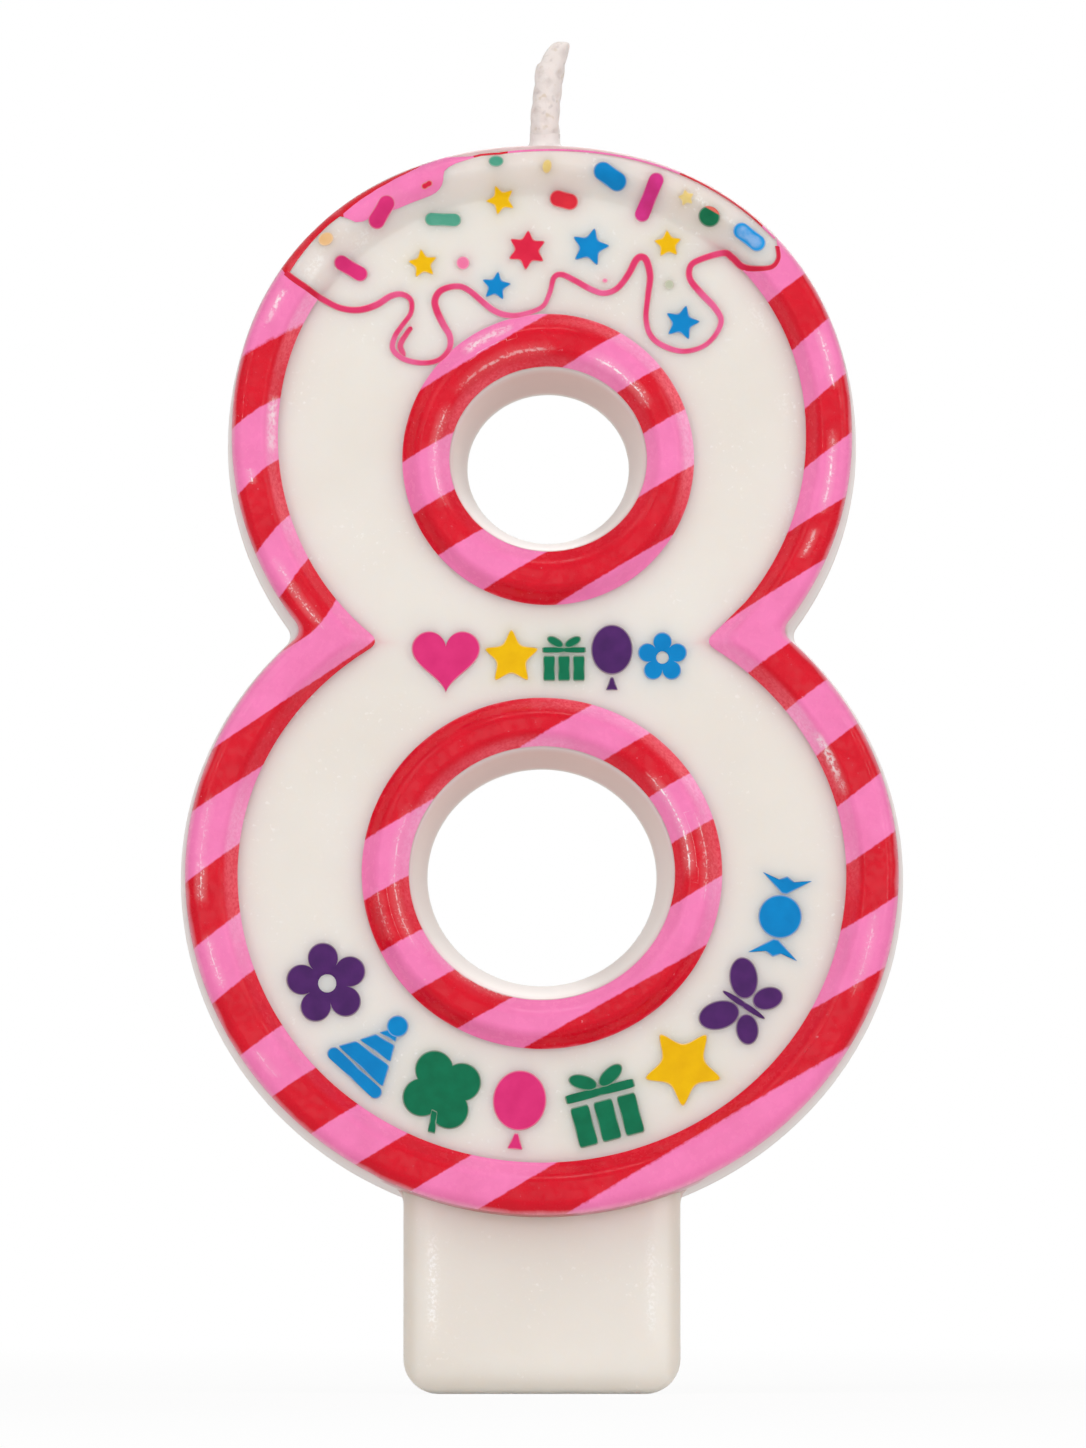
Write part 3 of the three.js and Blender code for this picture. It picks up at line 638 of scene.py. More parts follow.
def larger(tree: bpy.types.NodeTree, a: object, b: object) -> Socket:
    """The larger of two numbers."""
    return math_node(tree, "MAXIMUM", a, b)


def bump(
    tree: bpy.types.NodeTree,
    height: Socket,
    height_mm: float,
    under: Socket | None = None,
    strength: float | Socket = 1.0,
) -> Socket:
    """Bends the light as if the surface stood up to a height, over another such bend."""
    inputs = {"Height": height, "Distance": height_mm * MM, "Strength": strength}
    if under is not None:
        inputs["Normal"] = under
    return node(tree, "Bump", inputs=inputs).outputs[0]


def attribute(tree: bpy.types.NodeTree, name: str, output: str = "Fac") -> Socket:
    """Numbers or colours kept at the mesh's points."""
    return node(tree, "Attribute", {"attribute_name": name}).outputs[output]


def new_material(name: str) -> tuple[bpy.types.Material, bpy.types.NodeTree]:
    """Makes an empty node material.

    Args:
        name: What the real finish is.

    Returns:
        The material and its tree.
    """
    made = bpy.data.materials.new(name)
    made.use_nodes = True
    made.node_tree.nodes.clear()
    return made, made.node_tree


@dataclass(frozen=True)
class Glow:
    """How much light goes into a finish, how deep, and how far each colour of it gets."""

    weight: float
    depth_mm: float
    shares: tuple[float, float, float] = (1.0, 0.88, 0.78)


def surface(
    tree: bpy.types.NodeTree,
    colour: Socket,
    roughness: float | Socket,
    normal: Socket,
    specular: float | Socket = 0.5,
    ior: float = 1.46,
    glow: Glow | None = None,
) -> None:
    """Adds the main shader and joins it to the output.

    Args:
        tree: The tree that the nodes go into.
        colour: The finish's colour.
        roughness: How rough it is.
        normal: The bump that bends its light.
        specular: How strongly it mirrors, where 0.5 is usual.
        ior: Index of refraction.
        glow: How light goes into it, where it does.
    """
    inputs = {"Base Color": colour, "Roughness": roughness, "IOR": ior}
    inputs |= {"Specular IOR Level": specular, "Normal": normal}
    if glow:
        inputs |= {"Subsurface Weight": glow.weight, "Subsurface Radius": glow.shares}
        inputs["Subsurface Scale"] = glow.depth_mm * MM
    shader = node(tree, "BsdfPrincipled", inputs=inputs)
    node(tree, "OutputMaterial", inputs={"Surface": shader.outputs[0]})


@dataclass(frozen=True)
class CastWax:
    """Paraffin wax cast in a smooth mould.

    Light goes a few millimetres into it, which softens every shadow and makes thin edges
    glow. The mould leaves it satin, with a faint orange peel and a paler bloom in places.
    Painted highlights are added as dotted white streaks, and the mesh's colour layer carries
    painted glow and painted shade.
    """

    name: str = "cast_paraffin_wax"
    tone: str = "#ECE8E1"
    depth_mm: float = 2.0
    roughness: float = 0.31
    gloss_change: float = 0.12
    peel_mm: float = 0.55
    peel_height_mm: float = 0.007
    wave_mm: float = 7.0
    wave_height_mm: float = 0.018

    def build(self) -> bpy.types.Material:
        """Makes the material. The painted glow of nearby inks and the painted shade come from the mesh's
        colour layer.
        """
        made, tree = new_material(self.name)
        cloud = cloudy(tree, 9.0, 3.0, 0.3, 0.7)
        tint = attribute(tree, "tint_and_painted_light", "Color")
        veined = mix(tree, cloud, (0.965, 0.955, 0.945, 1), (1, 1, 1, 1))
        base = mix(tree, 1.0, mix(tree, 1.0, linear(self.tone), veined, "MULTIPLY"), tint, "MULTIPLY")
        specks = cloudy(tree, 0.35, 2.0, 0.62, 0.74)
        patches = cloudy(tree, 4.0, 1.0, 0.5, 0.7, 0.0, 0.55, seed=3.0)
        grain = attribute(tree, "grain")
        bloom = times(tree, times(tree, specks, patches), grain)
        # Painted highlights show as dotted white streaks, added to the bloom
        dots = cloudy(tree, 0.2, 2.0, 0.46, 0.62, 0.1, 1.0, seed=15.0)
        bloom = larger(tree, bloom, times(tree, attribute(tree, "rub"), dots))
        colour = mix(tree, bloom, base, linear("#FFFDFB"))
        # The mould's walls were drawn smooth, so the walls of the holes and the sides are calm
        peel = bump(tree, noise(tree, self.peel_mm, 2.0), self.peel_height_mm, None, grain)
        wave = bump(tree, noise(tree, self.wave_mm, 1.0, 5.0), self.wave_height_mm, peel, grain)
        gloss = cloudy(tree, 4.5, 1.0, 0.2, 0.8, 0.5 - self.gloss_change, 0.5 + self.gloss_change, seed=8.0)
        surface(tree, colour, self.roughness, wave, gloss, WAX_IOR, Glow(0.85, self.depth_mm))
        return made


@dataclass(frozen=True)
class SealWax:
    """A drop of clear wax that set round the wick, glossier than the casting."""

    name: str = "set_drop_of_wax"
    tone: str = "#F6EEEA"

    def build(self) -> bpy.types.Material:
        """Makes the material."""
        made, tree = new_material(self.name)
        cloud = cloudy(tree, 1.2, 2.0, 0.3, 0.7)
        colour = mix(tree, cloud, linear("#F0E4E0"), linear(self.tone))
        gloss = remap(tree, cloud, 0, 1, 0.22, 0.34)
        surface(tree, colour, gloss, bump(tree, noise(tree, 0.5, 1.0), 0.02), 0.4, WAX_IOR, Glow(0.15, 0.2))
        return made


@dataclass(frozen=True)
class WaxedCotton:
    """Braided cotton soaked with wax.

    The wax fills most of the braid, so the strands show as soft ridges, with grey shade painted
    in the hollows, and a few tan flecks. The fibres are a fine unevenness of 0.16 mm, coarser
    than real ones so that they show.
    """

    name: str = "waxed_cotton_braid"
    tone: str = "#ECE4E0"
    hollow: str = "#D6CBC6"

    def build(self) -> bpy.types.Material:
        """Makes the material. The painted shade in the hollows between strands comes from the mesh's own
        layer.
        """
        made, tree = new_material(self.name)
        hollow = attribute(tree, "hollow")
        # Painted grey shade in the hollows between the strands
        hollow_shade_share = times(tree, hollow, cloudy(tree, 0.9, 2.0, 0.45, 0.75))
        strands = mix(tree, hollow_shade_share, linear(self.tone), linear(self.hollow))
        flecks = cloudy(tree, 0.55, 1.0, 0.62, 0.75, 0.0, 0.5, seed=4.0)
        tan = mix(tree, flecks, strands, linear("#C9B89A"))
        smoke = cloudy(tree, 0.5, 1.0, 0.66, 0.78, 0.0, 0.32, seed=11.0)
        colour = mix(tree, smoke, tan, linear("#A59C9B"))
        fibres = bump(tree, noise(tree, 0.16, 2.0), 0.02)
        gloss = cloudy(tree, 0.6, 1.0, 0.3, 0.7, 0.45, 0.7)
        surface(tree, colour, gloss, fibres, glow=Glow(0.5, 0.5, (1.0, 0.85, 0.75)))
        return made


def ink_bump(tree: bpy.types.NodeTree) -> Socket:
    """The wax's own unevenness, which shows through a film of ink."""
    fine = bump(tree, noise(tree, 0.4, 2.0), 0.006)
    return bump(tree, noise(tree, 3.0, 1.0, 2.0), 0.025, fine)


@dataclass(frozen=True)
class StripedTransfer:
    """A transfer film printed with slanting stripes and pressed on warm wax.

    It shines a little more than the wax, unevenly, and broken highlight lines are painted
    along its crests. It thins out along its outer border, and its flanks are painted paler in
    grains as a painted sheen.
    """

    name: str = "striped_transfer_film"
    pink: str = "#F881BB"
    pink_shade: str = "#F07AB2"
    red: str = "#DB0A26"
    red_shade: str = "#D10622"
    through: str = "#F4BCCB"
    sheen_pink: str = "#FFB4D9"
    sheen_red: str = "#F8707F"
    glint_colour: str = "#FFF6F7"
    fade: float = 0.5
    roughness: float = 0.1

    def glints(self, tree: bpy.types.NodeTree) -> Socket:
        """How much painted highlight lies along the crests.

        The mesh keeps the distance from the painted highlight line, its width and its strength.
        The line is broken in long and short pieces, with painted dots of highlight beside it and a
        faint soft edge.

        Args:
            tree: The material's nodes.

        Returns:
            The share of painted highlight colour.
        """
        wobble = cloudy(tree, 1.3, 1.0, 0.3, 0.7, -0.035, 0.035, seed=29.0)
        gap = math_node(tree, "ABSOLUTE", math_node(tree, "ADD", attribute(tree, "crest"), wobble))
        near = remap(tree, math_node(tree, "DIVIDE", gap, attribute(tree, "spread")), 0.3, 1.0, 1.0, 0.0)
        short = cloudy(tree, 0.3, 2.0, 0.42, 0.56, 0.2, 1.0, seed=31.0)
        long = cloudy(tree, 2.4, 1.0, 0.36, 0.56, 0.4, 1.0, seed=33.0)
        line = times(tree, near, times(tree, short, long))
        dots = cloudy(tree, 0.15, 1.0, 0.58, 0.7, 0.0, 0.75, seed=35.0)
        beside = times(tree, remap(tree, gap, 0.0, 0.4, 1.0, 0.0), dots)
        both = larger(tree, line, beside)
        soft = larger(tree, both, remap(tree, gap, 0.0, 0.5, 0.16, 0.0))
        return times(tree, soft, attribute(tree, "rub"))

    def build(self) -> bpy.types.Material:
        """Makes the material. The mesh keeps the stripe's number and the border's distance."""
        made, tree = new_material(self.name)
        ragged = cloudy(tree, 0.3, 2.0, 0.25, 0.75, -0.01, 0.01)
        phase = math_node(tree, "ADD", attribute(tree, "stripe"), ragged)
        swing = math_node(tree, "PINGPONG", math_node(tree, "ADD", phase, 0.5), 1.0)
        is_red = remap(tree, swing, 0.485, 0.515, 0.0, 1.0)
        cloud = cloudy(tree, 2.2, 3.0, 0.35, 0.7, seed=6.0)
        # Painted sheen: the flanks are painted paler, in grains and patches, as much as the stretch layer
        # gives
        grain = cloudy(tree, 0.2, 2.0, 0.36, 0.66, 0.5, 1.0, seed=7.0)
        areas = cloudy(tree, 9.0, 1.0, 0.38, 0.62, 0.4, 1.0, seed=13.0)
        drawn = times(tree, attribute(tree, "stretch"), times(tree, grain, areas))
        pink = mix(tree, cloud, linear(self.pink), linear(self.pink_shade))
        red = mix(tree, cloud, linear(self.red), linear(self.red_shade))
        pink = mix(tree, drawn, pink, linear(self.sheen_pink))
        red = mix(tree, drawn, red, linear(self.sheen_red))
        ink = mix(tree, is_red, pink, red)
        border = attribute(tree, "border")
        wander = cloudy(tree, 1.6, 1.0, 0.3, 0.7, -0.05, 0.05, seed=9.0)
        thin = remap(tree, math_node(tree, "ADD", border, wander), 0.0, 0.3, self.fade, 0.0)
        holes = cloudy(tree, 0.25, 2.0, 0.72, 0.8, 0.0, 0.35, seed=17.0)
        colour = mix(tree, larger(tree, thin, holes), ink, linear(self.through))
        # Painted highlights along the crests
        colour = mix(tree, self.glints(tree), colour, linear(self.glint_colour))
        gloss = cloudy(tree, 0.5, 3.0, 0.42, 0.62, self.roughness, self.roughness + 0.26, seed=5.0)
        surface(tree, colour, gloss, ink_bump(tree), 0.2)
        return made


@dataclass(frozen=True)
class Ink:
    """A spot of one ink, printed on wax.

    The wax softens its edge, its colour is a little uneven, and it is satin like the wax.
    """

    name: str
    tone: str
    shade: str
    slot: str
    glow: str
    wear: float = 0.0
    cap: str = ""
    roughness: float = 0.36

    def build(self) -> bpy.types.Material:
        """Makes the material. The mesh keeps each point's distance from the border."""
        made, tree = new_material(self.name)
        cloud = cloudy(tree, 1.1, 3.0, 0.32, 0.7)
        ink = mix(tree, cloud, linear(self.tone), linear(self.shade))
        border = attribute(tree, "border")
        soft = remap(tree, border, 0.0, 0.11, 0.42, 0.0)
        colour = mix(tree, soft, ink, linear("#F1E4DE"))
        if self.cap:
            above = remap(tree, attribute(tree, "cap"), -0.03, 0.03, 0.0, 1.0)
            colour = mix(tree, above, colour, linear(self.cap))
        if self.wear:
            rub = cloudy(tree, 0.45, 3.0, 0.3, 0.62, 0.35, 1.0, seed=21.0)
            inner = remap(tree, border, 0.17, 0.4, 0.0, self.wear)
            colour = mix(tree, times(tree, rub, inner), colour, linear("#98BCE8"))
        gloss = cloudy(tree, 0.7, 2.0, 0.3, 0.7, self.roughness, self.roughness + 0.16, seed=5.0)
        surface(tree, colour, gloss, ink_bump(tree), 0.14)
        return made


@dataclass(frozen=True)
class IcingInk:
    """The drawn line round the icing: pink, redder where it crosses the striped rim."""

    name: str = "icing_line_ink"
    pink: str = "#DE3468"
    pale: str = "#E55F92"
    red: str = "#D2183C"

    def build(self) -> bpy.types.Material:
        """Makes the material. The mesh says where the line is red."""
        made, tree = new_material(self.name)
        cloud = cloudy(tree, 2.6, 2.0, 0.4, 0.62)
        pink = mix(tree, cloud, linear(self.pink), linear(self.pale))
        ink = mix(tree, attribute(tree, "redness"), pink, linear(self.red))
        soft = remap(tree, attribute(tree, "border"), 0.0, 0.08, 0.45, 0.0)
        colour = mix(tree, soft, ink, linear("#F4DAD9"))
        gloss = cloudy(tree, 0.7, 2.0, 0.3, 0.7, 0.3, 0.44, seed=5.0)
        surface(tree, colour, gloss, ink_bump(tree), 0.22)
        return made


class Colour(Enum):
    """The inks' finishes, each named for its pigment and how it is laid on."""

    PINK = Ink("candy_pink_ink", "#F0709F", "#EC80A8", "ink_pink", "#F8C4D2")
    MAGENTA = Ink("magenta_ink", "#E0347C", "#D82C74", "ink_magenta", "#F6BACD")
    DEEP_MAGENTA = Ink("deep_magenta_ink", "#D43388", "#C42E74", "ink_magenta", "#F6BACD")
    RED = Ink("red_ink", "#DE2E3C", "#D22436", "ink_red", "#F7BDBE")
    CARMINE = Ink("carmine_ink", "#E22848", "#D81E40", "ink_red", "#F7BDC4")
    YELLOW = Ink("golden_yellow_ink", "#F0BE00", "#E8B200", "ink_yellow", "#F7E6B0")
    PALE_YELLOW = Ink("thin_yellow_ink", "#EBD488", "#E2C070", "ink_pale_yellow", "#F5E9C8")
    GREEN = Ink("green_ink", "#087450", "#056846", "ink_green", "#D3E3D6")
    ORANGE = Ink("thin_orange_ink", "#EDC391", "#E6B57C", "ink_pale_yellow", "#F5E0C8")
    CAPPED_GREEN = Ink("green_ink_under_red", "#157A52", "#0F6A46", "ink_green", "#DDE3D2", cap="#DE6A5C")
    TEAL = Ink("thin_green_ink", "#469A80", "#58A48C", "ink_teal", "#D7E6DE")
    GREY_GREEN = Ink("faint_green_ink", "#AFB89C", "#BEC1AA", "ink_teal", "#E6E6DC")
    BLUE = Ink("bright_blue_ink", "#0088CC", "#007EC2", "ink_blue", "#CBE1F4")
    RUBBED_BLUE = Ink("rubbed_blue_ink", "#0C92DC", "#1B98E0", "ink_blue", "#CBE1F4", wear=0.7)
    PURPLE = Ink("dark_purple_ink", "#52266A", "#45205C", "ink_purple", "#DDD0E0")


# Pieces


def fit(piece: bpy.types.Object, node_name: str) -> bpy.types.Object:
    """Fastens a piece to the frame in place of a CAD node, and gives it back."""
    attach(piece, BODY)
    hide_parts(node_name)
    log.info("%s: %d faces", piece.name, len(piece.data.polygons))
    return piece


# Painted highlights, soft white gleams on the bare wax: x, height, turn in degrees, half length
# and half width in millimetres, and strength
WAX_GLINTS = (
    (10.5, 78.15, -44, 0.75, 0.14, 0.9),
    (12.4, 76.85, -38, 0.5, 0.12, 0.6),
    (-14.9, 74.0, 50, 0.9, 0.4, 0.55),
    (-11.8, 75.7, 45, 1.0, 0.45, 0.4),
    (14.3, 70.5, -58, 1.1, 0.3, 0.5),
    (15.9, 64.8, -75, 0.7, 0.25, 0.35),
    (16.3, 58.2, 80, 0.8, 0.25, 0.45),
)


@dataclass
class Skin:
    """The casting's surface: the place of each of its points, and the tint it has so far."""

    figure: Figure
    x: Array
    up: Array
    depth: Array

    def __post_init__(self) -> None:
        """Finds how far each point lies in from the edges, in front and under the icing."""
        field_depth = self.figure.field_depth
        self.inset = self.figure.inset_of(self.x, self.up)
        self.front = smooth_step(self.depth, field_depth - 2.2, field_depth - 0.4)
        self.iced = smooth_step(self.up - 0.12 * self.x, 73.0, 75.5)
        self.sinks = [ring.sink_of(self.x, self.up) for ring in self.figure.rings]
        self.tint = np.ones((len(self.x), 3))

    def shade(self, share: Array, colour: str) -> None:
        """Multiplies the tint by a colour, as much as the share says."""
        self.tint *= 1 - share[:, None] * (1 - np.array(linear(colour)[:3]))

    def paint_front_light(self, share: Array, colour: str) -> None:
        """Does the same on the front alone."""
        self.shade(share * self.front, colour)

    def in_hole(self, sink: Array, reach: float) -> Array:
        """Which points lie inside a ring's bead, by their distance in from its foot."""
        return (sink > self.figure.ring_band + 0.1) & (sink < reach)

    def walls(self) -> Array:
        """Which points lie on the walls of the sides and the holes."""
        wall = (np.abs(self.inset) < 0.7) & (self.depth < self.figure.depth - 1.2)
        for sink in self.sinks:
            wall |= self.in_hole(sink, 7)
        return wall

    def tint_rings(self) -> None:
        """Paints a pink glow on the wax outside each ring's film and inside it."""
        for sink in self.sinks:
            self.paint_front_light(0.3 * np.exp(-np.clip(-sink, 0, 9) / 0.4) * (sink < 1), "#F59AB4")
            lip = np.clip(sink - self.figure.ring_band, 0, 9)
            self.paint_front_light(0.45 * np.exp(-lip / 0.5) * (sink > 1), "#F5A9B9")

    def tint_prints(self, prints: list[tuple[Array, str]]) -> None:
        """Paints a glow of each print's colour on the wax round it.

        The tint falls off with the distance to the nearest point of the print's border, as e
        to minus the distance over 0.35 mm.

        Args:
            prints: Each print's border points and its colour.
        """
        near = np.flatnonzero((self.front > 0) & (self.inset > 0.5))
        x, up = self.x[near], self.up[near]
        for border, colour in prints:
            low, high = border.min(0) - 2, border.max(0) + 2
            inside = (x > low[0]) & (x < high[0]) & (up > low[1]) & (up < high[1])
            gap = np.hypot(x[inside, None] - border[:, 0], up[inside, None] - border[:, 1]).min(1)
            strength = np.zeros(len(self.x))
            strength[near[inside]] = 0.3 * np.exp(-gap / 0.35)
            self.paint_front_light(strength, colour)

    def tint_holes(self) -> None:
        """Paints warm shade on the holes' walls, most at the top, tinted like light that comes through the
        wax.
        """
        band = self.figure.ring_band
        for ring, sink in zip(self.figure.rings, self.sinks):
            high = np.clip(0.36 + 0.64 * (self.up - ring.up) / (ring.radius - band), 0.1, 1)
            deep = smooth_step(-self.depth, -10.9, -9.0) * smooth_step(self.depth, 0.0, 1.5)
            # Painted warm shade, strongest on the upper wall
            self.shade(0.85 * self.in_hole(sink, 6) * high * deep, "#E59C87")


@dataclass
class WaxCasting:
    """The casting: the eight with its rims and rings, its tab, and the wick's bore."""

    figure: Figure
    upper_steps: int = 236
    notch_steps: int = 8
    lower_steps: int = 272
    waist_steps: int = 44
    edge_rows: int = 5
    side_rows: int = 7
    shoulder_rows: int = 12
    crown_rows: int = 28
    bead_rows: int = 36
    lip_rows: int = 6
    wall_rows: int = 12
    field_rows: int = 22
    back_rows: int = 3
    pillow_rows: int = 16
    plug_sides: int = 48
    plug_length: float = 14.0
    crease: float = 38
    back_round: float = 0.35
    skirt: float = 0.4
    tab_width: float = 18.2
    tab_depth: float = 9.2
    tab_reach: float = 11.11
    tab_corner: float = 2.3
    tab_round: float = 1.4
    tab_pillow: float = 2.3
    tab_root: float = 4.0
    tab_fillet: float = 0.9
    wick_x: float = 0.2
    bore_radius: float = 1.3
    bore_bottom: float = 71.14
    pocket_radius: float = 1.97
    pocket_bottom: float = 81.74

    def turns(self) -> Array:
        """Places along the outline, from the middle of the right notch all the way round."""
        steps = (self.upper_steps, self.notch_steps, self.lower_steps, self.notch_steps)
        parts = [part + np.arange(count) / count for part, count in enumerate(steps)]
        around = np.concatenate(parts)
        return np.sort(np.mod(around + 0.5, 4.0)) - 0.5

    def rim_rows(self) -> Points:
        """Insets and depths of the rim's rows, from the back edge over to the field."""
        figure = self.figure
        quarter = quarter_turn(self.edge_rows)[:-1]
        side_top = figure.depth - figure.shoulder_depth
        side = np.r_[self.back_round, 0.8, 1.4, 2.0, 2.6, np.linspace(3.4, side_top, self.side_rows)]
        arc = quarter_turn(self.shoulder_rows)[1:]
        over = np.linspace(figure.shoulder_inset, figure.foot + self.skirt, self.crown_rows)[1:]
        back, wall = self.back_round * (1 - np.sin(quarter)), figure.draft * side / side_top
        inset = [back, wall, figure.draft + figure.shoulder * (1 - np.cos(arc)), over]
        shoulder, crown = side_top + figure.shoulder_depth * np.sin(arc), np.full(over.shape, figure.depth)
        depth = [self.back_round * (1 - np.cos(quarter)), side, shoulder, crown]
        return np.concatenate(inset), np.concatenate(depth)

    def ring_rows(self) -> Points:
        """Distances in from the foot and depths of a ring's rows, down to the back edge.

        The bead comes first, then a rounded lip, the hole's wall, which draws in evenly, and
        the rounded edge at the back.
        """
        figure = self.figure
        lip = figure.ring_band - 0.12
        bead = np.linspace(-self.skirt, lip, self.bead_rows)
        lip_depth = float(figure.ring_depth(np.array(lip)))
        wall = np.linspace(lip_depth - 0.35, self.back_round, self.wall_rows)
        wall_sink = figure.ring_band + figure.hole_draft * (1 - wall / lip_depth)
        t = np.linspace(0, 1, self.lip_rows)[1:-1]
        corner_sink, corner_depth = figure.ring_band + 0.01, lip_depth - 0.1
        bend_sink = bend(t, lip, corner_sink, wall_sink[0])
        bend_depth = bend(t, lip_depth, corner_depth, wall[0])
        quarter = quarter_turn(self.edge_rows)[1:]
        last = wall_sink[-1]
        sink = [bead, bend_sink, wall_sink, last - self.back_round * (1 - np.cos(quarter))]
        depth = [figure.ring_depth(bead), bend_depth, wall, self.back_round * (1 - np.sin(quarter))]
        return np.concatenate(sink), np.concatenate(depth)

    def loops(self, inset: float) -> tuple[Points, Points]:
        """Closed loops round the upper and the lower field, which share the waist's line.

        Args:
            inset: Inset of the outline that the loops follow.

        Returns:
            The upper and the lower loop, both counter-clockwise.
        """
        turns = self.turns()
        x, up = self.figure.outline(turns, inset)
        left = int(np.argmin(np.abs(turns - 1.5)))
        share = np.linspace(0, 1, self.waist_steps + 1)[1:-1]
        waist_x = x[left] + (x[0] - x[left]) * share
        waist_up = up[left] + (up[0] - up[left]) * share
        upper = np.concatenate([x[: left + 1], waist_x]), np.concatenate([up[: left + 1], waist_up])
        lower = (
            np.concatenate([x[left:], x[:1], waist_x[::-1]]),
            np.concatenate([up[left:], up[:1], waist_up[::-1]]),
        )
        return upper, lower

    def body(self, material: bpy.types.Material) -> bpy.types.Object:
        """Makes the eight as one closed skin of grids.

        Args:
            material: The wax.

        Returns:
            The eight without its tab.
        """
        figure, draft = self.figure, Draft()
        inset, depth = self.rim_rows()
        x, up = figure.outline(self.turns()[None, :], inset[:, None])
        crown = inset[:, None] > figure.shoulder_inset + 1e-6
        depth = np.where(crown, figure.rim_depth(inset[:, None], up), depth[:, None])
        draft.grid(x, up, depth, wrap=True)
        sink, ring_depth = self.ring_rows()
        fields = self.loops(float(inset[-1]))
        backs = self.loops(float(inset[0]))
        for ring, front, back in zip(figure.rings, fields, backs):
            angle = np.unwrap(np.arctan2(front[1] - ring.up, front[0] - ring.x))
            x, up = ring.point(angle[None, :], sink[:, None])
            draft.grid(x, up, ring_depth[:, None], wrap=True)
            for loop, edge, rows, level in (
                (front, 0, self.field_rows, figure.field_depth),
                (back, -1, self.back_rows, 0.0),
            ):
                share = np.linspace(0, 1, rows + 1)[:, None]
                across = loop[0] + (x[edge] - loop[0]) * share
                along = loop[1] + (up[edge] - loop[1]) * share
                draft.grid(across, along, level, wrap=True)
        return draft.finish("wax_casting", material)

    def tab_outline(self, inset: float, corner_steps: int = 9, side_steps: int = 42) -> Points:
        """Outline of the tab: straight sides and two rounded lower corners, set in.

        The corners' radius shrinks evenly until the outline has shrunk to a line.

        Args:
            inset: How far the outline is set in.
            corner_steps: Steps round each corner.
            side_steps: Steps down each side.

        Returns:
            x and up of the points, counter-clockwise from the upper left.
        """
        half = self.tab_width / 2 - inset
        radius = self.tab_corner * half / (self.tab_width / 2)
        angle = quarter_turn(corner_steps + 1)
        left_x = radius - half - radius * np.cos(angle)
        corner_up = inset + radius - radius * np.sin(angle)
        top = self.tab_reach + self.tab_root - 0.25 * inset
        sides = np.linspace(top, inset + radius, side_steps + 1)[:-1]
        edge = np.full(side_steps, half)
        x = np.concatenate([-edge, left_x, -left_x[::-1], edge])
        return x, np.concatenate([sides, corner_up, corner_up[::-1], sides[::-1]])

    def tab(self, material: bpy.types.Material) -> bpy.types.Object:
        """Makes the tab: a stack of outlines whose front edge turns through a quarter ellipse.

        The flat faces in front and behind are outlines that shrink to a line.
        """
        back, front = quarter_turn(self.edge_rows), quarter_turn(self.pillow_rows)
        flat = np.array([0.2, 1.0, 2.0, 3.2, 4.4, 5.6])
        last = np.array([self.tab_width / 2])
        small, deep, count = self.back_round, self.tab_depth, len(flat) + 1
        insets = [
            last,
            self.tab_pillow + flat[::-1],
            small * (1 - np.sin(back)),
            self.tab_pillow * (1 - np.cos(front)),
            self.tab_pillow + flat,
            last,
        ]
        depths = [
            np.zeros(count),
            small * (1 - np.cos(back)),
            deep - self.tab_round * (1 - np.sin(front)),
            np.full(count, deep),
        ]
        x, up = np.swapaxes([self.tab_outline(inset) for inset in np.concatenate(insets)], 0, 1)
        draft = Draft()
        draft.grid(x, up, np.concatenate(depths)[:, None], wrap=True)
        return draft.finish("tab", material)

    def fillet(self, side: int, material: bpy.types.Material) -> bpy.types.Object:
        """Makes the wedge that rounds the corner between the tab and the lower lobe.

        Its curved side is a quadratic curve from the tab's side to the lobe's edge.

        Args:
            side: 1 on the right, -1 on the left.
            material: The wax.

        Returns:
            The wedge.
        """
        half, reach = self.tab_width / 2, self.tab_fillet
        inset = self.figure.draft * self.tab_depth / (self.figure.depth - self.figure.shoulder_depth)
        outline = self.figure.lower.point(np.linspace(-math.pi / 2, 0, 2000), inset)
        corner_up = float(np.interp(half, *outline))
        along_up = float(np.interp(half + reach, *outline))
        t = np.linspace(0, 1, 9)
        curve_x = bend(t, half, half, half + reach)
        curve_up = bend(t, corner_up - reach, corner_up, along_up)
        x = np.concatenate([[half - reach] * 2, curve_x, [half + reach]])
        up = np.concatenate([[corner_up + reach, corner_up - reach], curve_up, [along_up + reach]])
        depth = np.array([self.back_round, self.tab_depth - self.tab_round])[:, None]
        draft = Draft()
        draft.grid(side * x, up, depth, wrap=True)
        centre = (side * (half - 0.5 * reach), corner_up + 0.5 * reach)
        for level in depth[:, 0]:
            share = np.array([[0.0], [1.0]])
            across = side * x + (centre[0] - side * x) * share
            draft.grid(across, up + (centre[1] - up) * share, level, wrap=True)
        return draft.finish("fillet", material)

    def plug(self, radius: float, bottom: float, material: bpy.types.Material) -> bpy.types.Object:
        """Makes an upright round plug that stands for the wick's bore or the seal's seat."""
        angle = even_angles(self.plug_sides)
        top = bottom + self.plug_length
        reach = np.array([0.0, radius, radius, 0.0])[:, None]
        level = np.array([bottom, bottom, top, top])[:, None]
        draft = Draft()
        depth = self.figure.depth / 2 + reach * np.sin(angle)
        draft.grid(self.wick_x + reach * np.cos(angle), level, depth, wrap=True)
        return draft.finish("plug", material)

    def tint_rim(self, skin: Skin, tab: Array) -> None:
        """Paints a pink glow on the field, the icing and the sides beside the rim's film, and a
        pinkish painted shade just outside the outline.

        Args:
            skin: The casting's surface.
            tab: Which of its points lie on the tab.
        """
        inset, bare = skin.inset, 1 - skin.iced
        # Painted pink glow beside the rim's foot
        skin.paint_front_light(0.45 * np.exp(-np.abs(inset - self.figure.foot) / 0.4) * bare, "#F7A0B6")
        rest = (inset > -0.15) & ~tab
